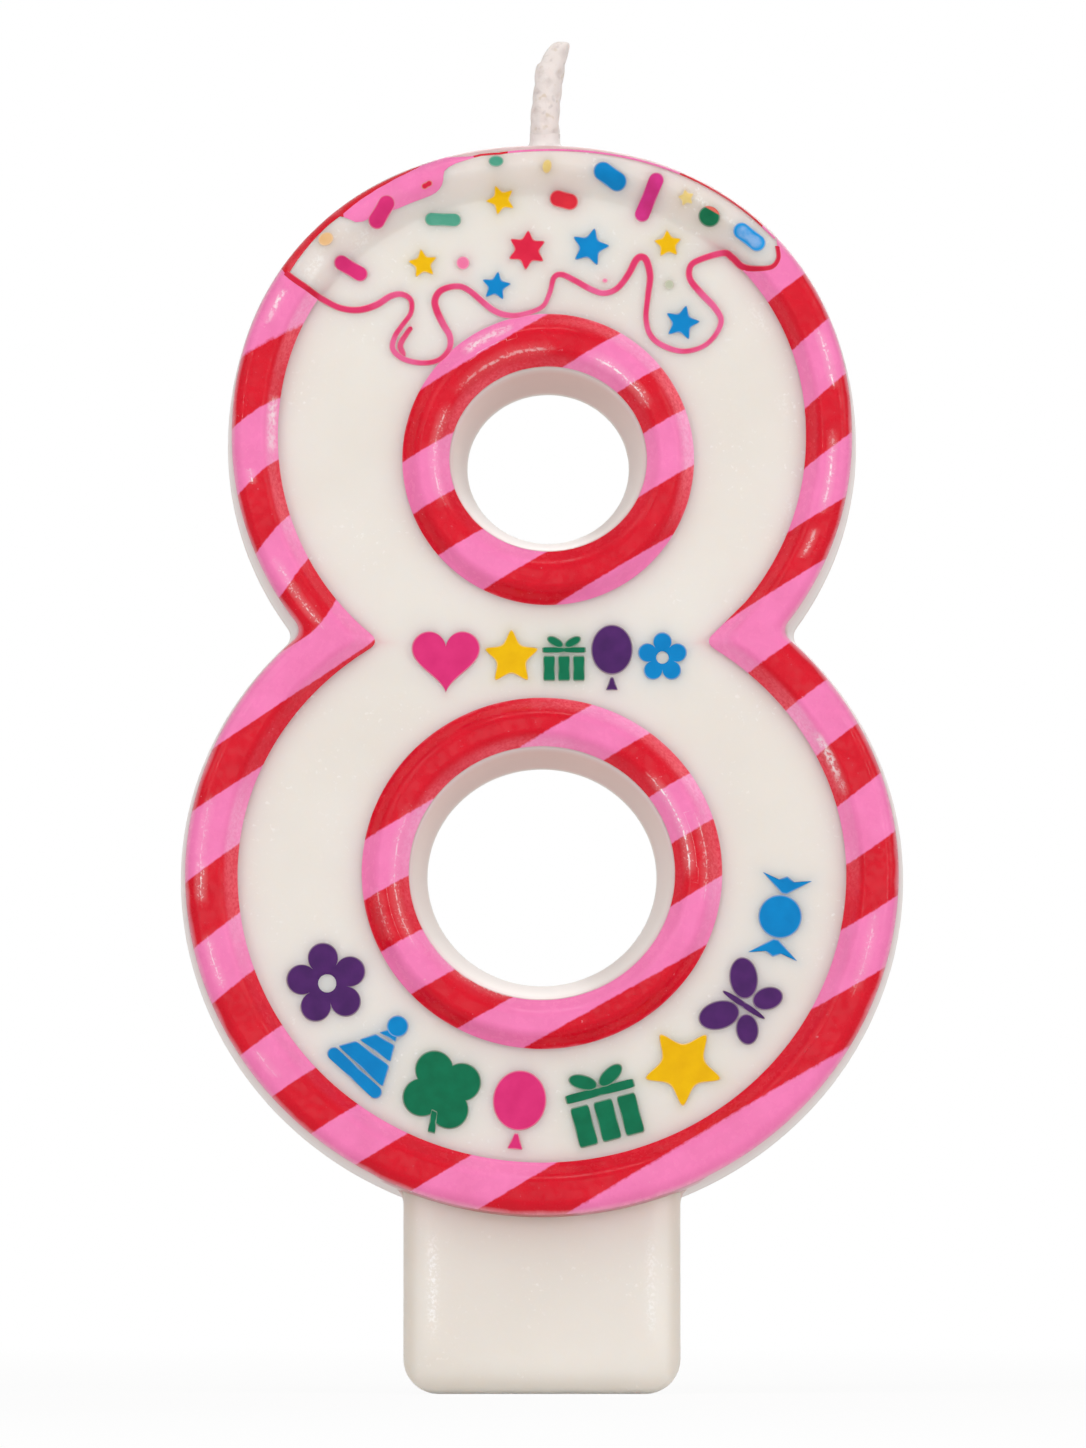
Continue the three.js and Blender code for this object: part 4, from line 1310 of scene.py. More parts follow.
        # Painted pinkish shade just outside the outline
        skin.paint_front_light(0.5 * smooth_step(-inset, -1.1, -0.4) * bare * rest, "#E7A3AE")
        skin.paint_front_light(0.45 * smooth_step(-inset, -1.2, -0.75) * skin.iced, "#F3AFBC")
        # Painted pink glow on the side walls under the film
        side = 0.6 * smooth_step(-inset, -0.65, -0.45) * smooth_step(skin.depth, -2, 9)
        skin.shade(side * rest, "#E8B6BC")

    def tint_tab(self, skin: Skin, tab: Array) -> None:
        """Paints shade on the tab's root under the figure, on its sides and on its foot, and a glow of
        the stripes on the edge over it. The plain back keeps one colour.

        Args:
            skin: The casting's surface.
            tab: Which of its points lie on the tab.
        """
        x, up, depth, inset = skin.x, skin.up, skin.depth, skin.inset
        off_back = smooth_step(depth, 0.3, 2.5)
        # Painted shade on the tab just under the figure
        skin.shade(0.12 * np.exp(np.clip(inset - 0.5, -9, 0) / 1.1) * tab * off_back, "#E9A79C")
        # Painted glow: the stripes' colours are painted on the edge over the tab, as if they shone through
        edge = smooth_step(depth, self.tab_depth, self.tab_depth + 0.3) * (inset < 0.75)
        edge = edge * (np.abs(x) < self.tab_width / 2 + 1.5)
        edge = edge * (inset > -0.15) * (up < self.tab_reach + 4)
        red = (x < -8.6) | ((x > -4.6) & (x < 2.3))
        skin.shade(0.85 * edge * red, "#D9485A")
        skin.shade(0.85 * edge * ~red, "#EE86B4")
        # Painted shade along the tab's rounded sides and its foot
        side = smooth_step(np.abs(x), self.tab_width / 2 - 1.1, self.tab_width / 2 - 0.4)
        foot = 0.8 * smooth_step(-up, -1.6, -0.4)
        skin.shade(0.35 * tab * off_back * np.maximum(side, foot), "#DCD2C6")

    def tint_edges(self, skin: Skin) -> None:
        """Paints a pink glow on the icing along the upper edge, and tints the edge of the back with a trace
        of red.
        """
        inset, up = skin.inset, skin.up
        # Painted pink glow on the icing beside the edge strip
        skin.paint_front_light(0.3 * skin.iced * np.exp(-np.clip(inset - 0.9, 0, 9) / 1.3) * (inset > 0.3), "#F6CCD6")
        # The trace is a little stronger here and there
        around = np.arctan2(up - 45, skin.x)
        run = 0.28 + 0.06 * np.sin(3 * around + 0.6) + 0.04 * np.sin(5 * around + 2.0)
        thin = smooth_step(skin.depth, 0.02, 0.3) * (1 - smooth_step(skin.depth, 1.0, 2.6))
        skin.shade(run * thin * (np.abs(inset) < 0.4) * (up > self.tab_reach + 1.5), "#C4626C")

    def gleams(self, skin: Skin, tab: Array) -> Array:
        """How much painted white highlight, a gleam, the bare wax has.

        Each gleam falls off from its middle as e to minus the square of the distance over its
        size. The tab has one down each front edge, and the others are listed.

        Args:
            skin: The casting's surface.
            tab: Which of its points lie on the tab.

        Returns:
            The share of painted white highlight at each point.
        """
        x, up = skin.x, skin.up
        rub = np.zeros(len(x))
        below, above = smooth_step(up, 3.0, 5.5), smooth_step(-up, -11.0, -9.0)
        # Painted highlights down the tab's front edges, the left one stronger
        for side, strength in ((-1, 1.0), (1, 0.55)):
            off = np.abs(x - side * (self.tab_width / 2 - 1.95))
            rub += strength * np.exp(-((off / 0.3) ** 2)) * below * above
        rub *= tab * (skin.depth > self.tab_depth - 0.6)
        for place_x, place_up, degrees, reach, wide, strength in WAX_GLINTS:
            turn = math.radians(degrees)
            along = (x - place_x) * math.cos(turn) + (up - place_up) * math.sin(turn)
            off = (up - place_up) * math.cos(turn) - (x - place_x) * math.sin(turn)
            gleam = strength * np.exp(-((along / reach) ** 2) - (off / wide) ** 2)
            rub = np.maximum(rub, gleam * skin.front)
        return rub

    def tint_and_painted_light(self, mesh: bpy.types.Mesh, prints: list[tuple[Array, str]]) -> None:
        """Paints a glow beside each print and painted shade into the wax's tint, and marks its painted gleams
        and its smooth walls.

        Args:
            mesh: The casting's mesh.
            prints: Each print's border points and its colour.
        """
        co = np.empty(len(mesh.vertices) * 3)
        mesh.vertices.foreach_get("co", co)
        x, y, up = co.reshape(-1, 3).T / MM
        skin = Skin(self.figure, x, up, TOTAL_DEPTH / 2 - y)
        tab = (up < self.tab_reach + 3) & (skin.depth < self.tab_depth + 0.02)
        tab &= np.abs(x) < self.tab_width / 2 + 0.02
        self.tint_rim(skin, tab)
        self.tint_tab(skin, tab)
        self.tint_edges(skin)
        skin.tint_rings()
        skin.tint_prints(prints)
        skin.tint_holes()
        grain = np.where(skin.walls(), 0.08, 1.0)
        for name, values in (("rub", self.gleams(skin, tab)), ("grain", grain)):
            made = mesh.attributes.new(name, "FLOAT", "POINT")
            made.data.foreach_set("value", values.astype(np.float32))
        layer = mesh.color_attributes.new("tint_and_painted_light", "FLOAT_COLOR", "POINT")
        layer.data.foreach_set("color", np.c_[skin.tint, np.ones(len(x))].ravel())

    def build(self, wax: bpy.types.Material, prints: list[tuple[Array, str]]) -> bpy.types.Object:
        """Joins the eight and the tab, cuts the bore and tints the wax with painted glow and shade.

        Args:
            wax: The casting's material.
            prints: Each print's border points and its colour.

        Returns:
            The finished casting.
        """
        piece = self.body(wax)
        combine(piece, self.tab(wax), "UNION")
        for side in (1, -1):
            combine(piece, self.fillet(side, wax), "UNION")
        combine(piece, self.plug(self.bore_radius, self.bore_bottom, wax), "DIFFERENCE")
        combine(piece, self.plug(self.pocket_radius, self.pocket_bottom, wax), "DIFFERENCE")
        piece.data.shade_smooth()
        piece.data.set_sharp_from_angle(angle=math.radians(self.crease))
        self.tint_and_painted_light(piece.data, prints)
        return fit(piece, "wax_body")


@dataclass
class Wick:
    """The braided wick and the wax that climbs it."""

    x: float = 0.2
    depth: float = 5.9
    radius: float = 0.98
    bottom: float = 71.27
    seat: float = 82.14
    exposed: float = 7.15
    straight: float = 1.1
    tip_shift: float = 0.75
    rows: int = 220
    end_rows: int = 26
    sides: int = 64
    strands: int = 4
    lay: float = 5.2
    ridge: float = 0.035
    seal_radius: float = 1.85
    seal_bottom: float = 81.82

    def lean(self, up: Array) -> Array:
        """How far the wick stands off to the right: the square of the way up its free part."""
        free = self.exposed - self.straight
        way = np.clip((up - self.seat - self.straight) / free, 0, 1.2)
        return self.tip_shift * way**2

    def build_wick(self, cotton: bpy.types.Material) -> bpy.types.Object:
        """Makes the wick as a tube whose skin rises in two sets of crossing ridges.

        Each ridge is a cosine of the angle plus or minus the turn at that height, and the
        higher of the two sets shows. The tip is drawn together and cut at a slant.
        """
        top = self.seat + self.exposed
        shaft = np.linspace(self.bottom, top - 0.35, self.rows)
        closing = quarter_turn(self.end_rows)[1:]
        level = np.concatenate([[self.bottom], shaft, top - 0.35 + 0.35 * np.sin(closing)])
        girth = np.concatenate([[0.0], np.ones(self.rows), np.cos(closing) ** 0.5])
        angle = even_angles(self.sides)[None, :]
        up = level[:, None]
        twist = FULL_TURN * up / self.lay
        one = np.cos(self.strands * (angle + twist))
        two = np.cos(self.strands * (angle - twist))
        crown = np.maximum(one, two)
        waxed = smooth_step(up, self.seat - 1, self.seat + 2.2)
        uneven = 0.03 * np.sin(3 * angle + 1.7 * up) + 0.025 * np.sin(2 * angle - 0.9 * up)
        ridges = self.ridge * (1 - crown) * (0.4 + 0.6 * waxed)
        reach = girth[:, None] * (self.radius - ridges + uneven * waxed)
        reach = np.minimum(reach, self.radius)
        x_off = reach * np.cos(angle)
        left_share = np.clip((self.radius - x_off) / (2 * self.radius), 0, 1)
        shoulder = np.clip((left_share - 0.4) / 0.6, 0, 1) ** 2
        slant = -smooth_step(up, top - 1.8, top - 0.2) * (shoulder + 0.1 * left_share)
        draft = Draft()
        draft.grid(
            self.x + self.lean(up) + x_off,
            up + slant,
            self.depth + reach * np.sin(angle),
            wrap=True,
            hollow=smooth_step(-crown, -0.75, 0.35),
        )
        return fit(draft.finish("braided_wick", cotton, crease=70), "wick")

    def build_seal(self, wax: bpy.types.Material) -> bpy.types.Object:
        """Makes the seal: a profile turned round the wick, hollow like a meniscus.

        Along the profile the reach shrinks as one less t to the power of 3.2, while the height
        climbs as t to the power of 1.9.
        """
        t = np.linspace(0, 1, 18)
        inner = self.radius + 0.005
        reach = inner + 0.02 + (self.seal_radius - inner - 0.02) * (1 - t) ** 3.2
        climb = self.seat - 0.02 + 1.0 * t**1.9
        profile_reach = np.concatenate([[inner, self.seal_radius], reach, [inner, inner]])
        profile_up = np.concatenate([[self.seal_bottom] * 2, climb, [climb[-1], self.seal_bottom]])
        angle = even_angles(72)
        uneven = 1 + 0.05 * np.sin(3 * angle + 0.6) + 0.04 * np.sin(2 * angle)
        outer = (profile_reach[:, None] - inner) * uneven + inner
        outer = np.minimum(outer, self.seal_radius)
        way = (profile_up[:, None] - self.seat) / 1.1
        lift = np.where(way > 0, 1 + 0.12 * np.sin(2 * angle + 1.1) * way, 1)
        up = self.seat + (profile_up[:, None] - self.seat) * np.minimum(lift, 1)
        draft = Draft()
        draft.grid(self.x + outer * np.cos(angle), up, self.depth + outer * np.sin(angle), wrap=True)
        return fit(draft.finish("wick_seal_drop", wax, crease=60), "wick_seal")


@dataclass(frozen=True)
class Stripes:
    """Slanting stripes, numbered from the lowest. Even numbers are red, odd ones pink."""

    edges: tuple[float, ...]
    slope: float = STRIPE_SLOPE
    low_slope: float = STRIPE_SLOPE

    def number(self, across: Array) -> Array:
        """Stripe number at a distance across the stripes: whole numbers lie on the edges.

        Args:
            across: Height less the slope times x.

        Returns:
            The number, with its share of the way to the next edge.
        """
        edges = np.array(self.edges)
        marks = np.concatenate([[edges[0] - 8], edges, [edges[-1] + 12]])
        count = np.arange(len(edges), dtype=float)
        return np.interp(across, marks, np.concatenate([[-0.9], count, [len(edges) - 0.1]]))


# Where the stripes' edges cross the middle line, and where they lie on either side of the rim
FIRST_EDGES = (10.9, 14.6)
LAST_EDGES = (66.9, 71.3, 75.6, 79.6)
MAIN_EDGES = (
    *FIRST_EDGES, 18.6, 22.6, 26.7, 30.8, 34.9, 39.1, 43.2, 47.2, 51.2, 55.0, 59.0, 63.0, *LAST_EDGES,
)
LEFT_EDGES = (
    *FIRST_EDGES, 18.4, 22.3, 26.1, 30.1, 34.1, 38.7, 43.0, 47.6, 51.9, 55.3, 59.2, 63.1, *LAST_EDGES,
)
RIGHT_EDGES = (
    *FIRST_EDGES, 18.7, 22.9, 27.2, 31.4, 35.5, 39.4, 43.6, 46.9, 50.7, 54.7, 59.0, 63.0, *LAST_EDGES,
)
# The film's strip over the icing: x, how far in it reaches, and how much of that is red
UPPER_STRIP = (
    (-17.6, 0.85, 9.0), (-16.9, 0.74, 9.0), (-16.2, 0.64, 9.0), (-15.0, 0.54, 9.0), (-14.0, 0.5, 9.0),
    (-13.3, 0.55, 9.0), (-13.1, 0.8, 0.55), (-12.6, 1.6, 0.5), (-12.2, 1.85, 0.46), (-10.3, 2.27, 0.36),
    (-9.8, 2.35, 0.33), (-8.2, 2.42, 0.2), (-7.7, 2.42, 0.0), (-7.3, 2.34, 0.0), (-7.0, 2.18, 0.0),
    (-6.8, 1.95, 0.0), (-6.66, 1.65, 0.0), (-6.6, 1.35, 0.0), (-6.5, 1.05, 0.0), (-6.2, 0.85, 0.0),
    (-5.7, 0.7, 0.0), (-4.5, 0.55, 0.0), (-4.0, 0.5, 9.0),
    (-2.8, 0.58, 9.0), (-2.2, 0.54, 0.0), (0.0, 0.46, 0.0), (3.6, 0.38, 0.0), (9.0, 0.27, 0.0),
    (9.6, 0.26, 9.0), (13.6, 0.25, 9.0), (14.4, 0.28, 0.0), (18.0, 0.28, 0.0),
)
# How steep the stripes are on either side of the rim: height and slope
LEFT_SLOPES = (
    (11, 0.57), (15, 0.6), (23, 0.78), (27, 0.86), (31, 0.78), (35, 0.74), (39, 0.66), (47, 0.75),
    (50.5, 0.87), (53, 0.98), (56.5, 0.94), (60, 0.88), (64, 0.7), (69, 0.44),
)
RIGHT_SLOPES = (
    (11, 0.57), (15, 0.52), (21.5, 0.5), (26.5, 0.55), (31.5, 0.63), (35.5, 0.68), (39.5, 0.74),
    (50, 0.65), (57.5, 0.6), (61.7, 0.75), (65.5, 0.86), (69, 0.92), (72, 0.84),
)
# How strongly the rim's inner flank is painted paler, a painted sheen: height and share
LEFT_FLANK_SHEEN = (
    (14, 0.1), (27, 0.2), (30, 0.85), (38, 0.9), (42, 0.5), (48, 0.35), (54, 0.35), (57, 0.85),
    (65, 0.8), (74, 0.6),
)
RIGHT_FLANK_SHEEN = (
    (20, 0.1), (32, 0.15), (35, 0.7), (37, 0.4), (39, 0.45), (40, 0.9), (44, 0.9), (48, 0.35),
    (56, 0.15),
)


@dataclass(frozen=True)
class Glint:
    """A stretch of a crest where a highlight is painted in pale colour.

    It lies at a distance in from the foot or the outline, and runs between two heights on one
    side of the rim, or between two angles on a ring.
    """

    at: float
    start: float
    end: float
    strength: float
    width: float = 0.09
    side: int = 0


# Painted highlights along the crests of the rim and the rings
RIM_GLINTS = (
    Glint(1.7, 70.0, 72.6, 0.75, 0.26, -1),
    Glint(1.9, 59.5, 60.7, 0.9, 0.09, -1),
    Glint(1.9, 49.9, 55.0, 0.8, 0.07, -1),
    Glint(1.65, 31.6, 39.6, 0.5, 0.055, -1),
    Glint(1.66, 32.0, 35.2, 1.0, 0.06, -1),
    Glint(1.7, 26.3, 30.2, 0.65, 0.06, -1),
    Glint(1.75, 20.6, 22.6, 0.45, 0.07, -1),
    Glint(3.6, 61.5, 65.6, 0.7, 0.4, -1),
    Glint(1.75, 65.7, 70.0, 1.0, 0.09, 1),
    Glint(2.1, 57.4, 63.4, 0.9, 0.12, 1),
    Glint(2.25, 54.6, 56.8, 0.7, 0.18, 1),
    Glint(2.05, 25.8, 31.9, 0.5, 0.06, 1),
    Glint(3.35, 39.0, 43.5, 0.8, 0.35, 1),
)
UPPER_RING_GLINTS = (
    Glint(2.05, 148, 208, 0.7, 0.07),
    Glint(2.0, 26, 71, 1.0, 0.08),
    Glint(0.55, 104, 130, 0.9, 0.36),
    Glint(1.98, 84, 146, 0.4, 0.12),
)
LOWER_RING_GLINTS = (
    Glint(2.08, 148, 216, 0.55, 0.06),
    Glint(2.08, -4, 47, 0.95, 0.08),
    Glint(0.95, -12, 24, 0.45, 0.06),
    Glint(0.9, 184, 206, 0.35, 0.06),
    Glint(3.06, 206, 262, 0.55, 0.12),
    Glint(1.6, 330, 345, 0.35, 0.35),
)


def glint_layers(glints: tuple[Glint, ...], across: Array, along: Array, x: Array) -> dict[str, Array]:
    """Numbers that tell the film's material where highlights are painted on its crests.

    Args:
        glints: The stretches of painted highlight.
        across: Distance in from the foot or the outline.
        along: Height on the rim, or angle on a ring.
        x: Place across, whose sign is the side.

    Returns:
        Signed distance from the nearest rubbed line, its strength and its width.
    """
    crest, strength, width = (np.full(across.shape, start) for start in (9.0, 0.0, 0.1))
    for rub in glints:
        ease = 0.2 * (rub.end - rub.start)
        inside = smooth_step(along, rub.start, rub.start + ease)
        inside = inside * smooth_step(-along, -rub.end, ease - rub.end)
        inside = inside * (rub.side * x >= 0)
        gap = across - rub.at
        nearer = (inside > 0) & (np.abs(gap) * 0.8 < np.abs(crest) * (strength * 0.2 + 0.8))
        crest = np.where(nearer, gap, crest)
        strength = np.where(nearer, rub.strength * inside, strength)
        width = np.where(nearer, rub.width, width)
    return {"crest": crest, "rub": strength, "spread": width}


@dataclass(frozen=True)
class Spot:
    """A small print: its node, ink, outline, place and turn, and how wide it is open."""

    node: str
    colour: Colour
    islands: tuple[Array, ...]
    x: float
    up: float
    degrees: float
    open_middle: float = 0.0


def rounded(corners: list[tuple[float, float]] | Array, rounds: int = 3, steps: int = 12) -> Array:
    """Walks round a polygon and rounds its corners.

    Each side is cut into equal steps, and each point is then moved to the weighted mean of
    its two neighbours and itself, a few times.

    Args:
        corners: The polygon's corners, counter-clockwise.
        rounds: How often the points are evened out.
        steps: Points on each side.

    Returns:
        Points of the closed outline.
    """
    corner = np.array(corners, dtype=float)
    following = np.roll(corner, -1, axis=0)
    share = (np.arange(steps) / steps)[None, :, None]
    points = (corner[:, None] + (following - corner)[:, None] * share).reshape(-1, 2)
    for _ in range(rounds):
        points = (np.roll(points, 1, 0) + 2 * points + np.roll(points, -1, 0)) / 4
    return points


def evenly(outline: Array, step: float = 0.07) -> Array:
    """Cuts a closed outline into equal steps, so that it can follow a bent surface.

    Args:
        outline: The outline's points.
        step: About how far apart the new points are.

    Returns:
        The new points.
    """
    closed = np.concatenate([outline, outline[:1]])
    around = lengths(closed)[-1]
    return resample(closed, np.linspace(0, around, max(24, int(around / step)) + 1)[:-1])


def oval(
    width: float, height: float, x: float = 0.0, up: float = 0.0, tilt: float = 0.0, steps: int = 72
) -> Array:
    """An ellipse as cosine and sine of the angle, tilted about its middle."""
    angle = even_angles(steps)
    across, along = width / 2 * np.cos(angle), height / 2 * np.sin(angle)
    cosine, sine = math.cos(tilt), math.sin(tilt)
    return np.stack([x + across * cosine - along * sine, up + across * sine + along * cosine], -1)


def box(left: float, bottom: float, right: float, top: float) -> Array:
    """A rectangle with slightly rounded corners."""
    return rounded([(left, bottom), (right, bottom), (right, top), (left, top)], 2)


def star(points: int, size: float, waist: float) -> Array:
    """A star whose corners lie in turn on a circle and on a smaller one."""
    angle = math.pi / 2 + math.pi * np.arange(2 * points) / points
    reach = size / 2 * np.where(np.arange(2 * points) % 2, waist, 1.09)
    return rounded(polar(reach, angle), 9, 10)


def bar(length: float, width: float) -> Array:
    """A stadium: two half circles joined by straight sides."""
    angle = np.linspace(-math.pi / 2, math.pi / 2, 20)
    end = (length - width) / 2
    right = np.stack([end + width / 2 * np.cos(angle), width / 2 * np.sin(angle)], -1)
    return rounded(np.concatenate([right, -right]), 1, 3)


def heart(width: float) -> Array:
    """A heart: x is the cube of a sine, and up a sum of cosines of one to four turns."""
    t = even_angles(120)
    x = np.sin(t) ** 3
    up = (13 * np.cos(t) - 5 * np.cos(2 * t) - 2 * np.cos(3 * t) - np.cos(4 * t)) / 16
    return np.stack([x * width / 2, (up + 0.02) * width / 2], -1)[::-1]


def flower(width: float) -> Array:
    """Five petals: the radius follows a power of the cosine of two and a half turns."""
    angle = even_angles(400)
    petal = np.abs(np.cos(2.5 * (angle - math.pi / 2))) ** 0.55
    reach = width / 2 * (0.5 + 0.5 * petal)
    return polar(reach, angle)


def clover(width: float) -> Array:
    """Four round leaves: the radius follows the far side of the nearest leaf's circle."""
    angle = even_angles(160)
    off = np.mod(angle, math.pi / 2) - math.pi / 4
    centre, leaf = 0.3 * width, 0.27 * width
    reach = centre * np.cos(off) + np.sqrt(leaf**2 - (centre * np.sin(off)) ** 2)
    return polar(reach, angle)


class Motif:
    """Islands of the party motifs, each round the motif's own middle."""

    @staticmethod
    def gift(width: float) -> tuple[Array, ...]:
        """A box in three parts with a ribbon, a lid and a bow of two loops."""
        half, ribbon, slot = width / 2, 0.13 * width, 0.055 * width
        side, lid = 0.88 * half, 0.2 * half
        loops = [oval(0.78 * half, 0.4 * half, end * 0.37 * half, 0.66 * half, end * 0.5) for end in (-1, 1)]
        return (
            box(-side, -half, -ribbon - slot, lid - slot),
            box(-ribbon, -half, ribbon, lid - slot),
            box(ribbon + slot, -half, side, lid - slot),
            box(-side - 0.05 * half, lid, side + 0.05 * half, 0.44 * half),
            *loops,
        )

    @staticmethod
    def balloon(width: float, height: float) -> tuple[Array, ...]:
        """An upright oval with a small knot under it."""
        knot = 0.12 * height
        body = oval(width, height - 2 * knot, 0, knot, 0, 96)
        low = -height / 2
        wide, narrow, top = 0.15 * width, 0.035 * width, low + 1.7 * knot
        return body, rounded([(-wide, low), (wide, low), (narrow, top), (-narrow, top)], 1)

    @staticmethod
    def hat(width: float, height: float) -> tuple[Array, ...]:
        """A cone in three bands, a brim and a pompom."""
        brim = 0.16 * height
        foot, tip = -height / 2 + 1.15 * brim, 0.4 * height
        tilt = 0.8 * 0.035 * height

        def at(share: float) -> tuple[float, float]:
            """Half width and height of the cone at a share of the way to its tip."""
            return 0.44 * width * (1 - share), foot + (tip - foot) * share

        bands = []
        for low, high in ((0.0, 0.32), (0.37, 0.64), (0.69, 0.9)):
            (wide, bottom), (narrow, top) = at(low), at(high)
            under = tilt * (low > 0)
            feet = [(-wide, bottom - under), (wide, bottom + under)]
            bands.append(rounded([*feet, (narrow, top + tilt), (-narrow, top - tilt)], 1))
        pompom = oval(0.27 * height, 0.27 * height, 0, 0.365 * height)
        rim = bar(width, brim) + np.array([0, -height / 2 + brim / 2])
        return (*bands, pompom, rim)

    @staticmethod
    def clover(width: float) -> tuple[Array, ...]:
        """Four leaves and a stalk."""
        stalk = [(-0.02, -0.3), (0.06, -0.62), (0.17, -0.6), (0.07, -0.3)]
        return clover(width), rounded(width * np.array(stalk), 1)

    @staticmethod
    def butterfly(width: float) -> tuple[Array, ...]:
        """Two pairs of wings beside a slim body."""
        half = width / 2
        wings = []
        for side in (-1, 1):
            wings.append(oval(1.02 * half, 0.7 * half, side * 0.54 * half, 0.36 * half, side * 0.7))
            wings.append(oval(0.76 * half, 0.56 * half, side * 0.45 * half, -0.4 * half, -side * 0.7))
        return (*wings, oval(0.16 * half, 1.24 * half))

    @staticmethod
    def sweet(width: float, height: float) -> tuple[Array, ...]:
        """A round middle between two fans of paper."""
        middle = oval(0.84 * height, 0.84 * height)
        fans = []
        for side in (-1, 1):
            fan = [
                (side * 0.44 * height, -0.05 * height),
                (side * width / 2, -height / 2),
                (side * 0.44 * width, -height / 6),
                (side * width / 2, 0),
                (side * 0.44 * width, height / 6),
                (side * width / 2, height / 2),
                (side * 0.44 * height, 0.05 * height),
            ]
            fans.append(rounded(fan if side > 0 else fan[::-1], 1))
        return (middle, *fans)


@dataclass
class Decoration:
    """All that is printed: the striped films, the icing's line and the small spots."""

    figure: Figure
    star_size: float = 2.0
    bar_length: float = 2.4
    bar_width: float = 1.1
    chip: float = 1.0
    dot: float = 0.86
    row_motif: float = 4.5
    row_drop: float = 0.4
    arc_motif: float = 5.4
    arc_drop: float = 0.35
    print_inset: float = 0.63
    print_margin: float = 0.06
    rim_middle: float = 2.3
    line_width: float = 0.42
    rim_columns: int = 860
    ring_columns: int = 420
    strip_columns: int = 900
    film_rows: int = 34
    strip_rows: int = 22
    spot_rows: int = 12
    line_points: int = 760
    hook_points: int = 60
    borders: list[tuple[Array, str]] = field(default_factory=list)
    # The icing's line as shares of the upper lobe's half width and rise
    drips: tuple[tuple[float, float], ...] = (
        (-0.86, 0.6), (-0.802, 0.528), (-0.739, 0.479), (-0.685, 0.443), (-0.632, 0.416),
        (-0.575, 0.41), (-0.522, 0.426), (-0.475, 0.456), (-0.44, 0.462), (-0.412, 0.443),
        (-0.412, 0.4), (-0.44, 0.357), (-0.462, 0.321), (-0.468, 0.279), (-0.434, 0.246),
        (-0.377, 0.233), (-0.324, 0.243), (-0.292, 0.279), (-0.289, 0.321), (-0.311, 0.364),
        (-0.33, 0.407), (-0.336, 0.443), (-0.317, 0.475), (-0.27, 0.489), (-0.229, 0.475),
        (-0.154, 0.41), (-0.097, 0.391), (-0.044, 0.4), (0.003, 0.423), (0.025, 0.469),
        (0.038, 0.518), (0.063, 0.528), (0.104, 0.508), (0.154, 0.479), (0.195, 0.466),
        (0.236, 0.482), (0.271, 0.528), (0.296, 0.577), (0.315, 0.587), (0.33, 0.571),
        (0.34, 0.521), (0.333, 0.456), (0.327, 0.384), (0.34, 0.328), (0.378, 0.292),
        (0.44, 0.272), (0.5, 0.285), (0.541, 0.321), (0.563, 0.374), (0.541, 0.42),
        (0.5, 0.466), (0.466, 0.512), (0.466, 0.554), (0.494, 0.577), (0.569, 0.6),
        (0.598, 0.584), (0.629, 0.554), (0.67, 0.544), (0.72, 0.548), (0.742, 0.577),
        (0.739, 0.62),
    )
    hook: tuple[tuple[float, float], ...] = (
        (-0.409, 0.354), (-0.427, 0.328), (-0.445, 0.29), (-0.43, 0.255),
    )

    def curve(self, spots: tuple[tuple[float, float], ...], count: int) -> Array:
        """A smooth curve through places on the upper lobe's grid.

        Between two places it is a cubic whose slope at each is half the way from the place
        before to the place after, and it is then cut into equal steps.

        Args:
            spots: The places, as shares of the lobe's half width and rise.
            count: How many points to return.

        Returns:
            Points along the curve.
        """
        place = self.figure.on_grid(spots)
        padded = np.concatenate([2 * place[:1] - place[1:2], place, 2 * place[-1:] - place[-2:-1]])
        before, start, end, after = padded[:-3], padded[1:-2], padded[2:-1], padded[3:]
        t = np.linspace(0, 1, 17)[:-1][None, :, None]
        slope_in, slope_out = (end - before)[:, None] / 2, (after - start)[:, None] / 2
        start, end = start[:, None], end[:, None]
        cubic = (
            (2 * t**3 - 3 * t**2 + 1) * start
            + (t**3 - 2 * t**2 + t) * slope_in
            + (-2 * t**3 + 3 * t**2) * end
            + (t**3 - t**2) * slope_out
        )
        fine = np.concatenate([cubic.reshape(-1, 2), place[-1:]])
        return resample(fine, np.linspace(0, lengths(fine)[-1], count))

    def icing_end(self, inset: Array, from_left: bool) -> Array:
        """Place along the outline where the icing's line crosses the rim at an inset.

        Args:
            inset: Insets at which the crossing is wanted.
            from_left: Whether it is the line's left end.

        Returns:
            Turn of the crossing, 0 to 1 over the upper lobe.
        """
        # Of 1600 points the first 260 and the last 150 hold the two crossings of the rim
        line = self.curve(self.drips, 1600)
        line = line[:260] if from_left else line[-150:][::-1]
        outward = line[0] - line[12]
        start = line[:1] + outward / np.hypot(*outward) * np.linspace(3, 0.05, 60)[:, None]
        line = np.concatenate([start, line])
        line_inset = self.figure.upper.inset_of(line[:, 0], line[:, 1])
        grid_turn = np.linspace(0, 1, 4001)
        deepest = np.maximum.accumulate(line_inset)
        wanted = np.interp(inset, deepest + np.arange(len(deepest)) * 1e-7, np.arange(len(line)))
        x = np.interp(wanted, np.arange(len(line)), line[:, 0])
        up = np.interp(wanted, np.arange(len(line)), line[:, 1])
        angle = np.arctan2(up - self.figure.upper.centre, x)
        turns = []
        for one_inset, one_angle in zip(np.ravel(inset), np.ravel(angle)):
            ox, oup = self.figure.outline(grid_turn, one_inset)
            outline_angle = np.unwrap(np.arctan2(oup - self.figure.upper.centre, ox))
            turns.append(np.interp(one_angle, outline_angle, grid_turn))
        return np.array(turns)

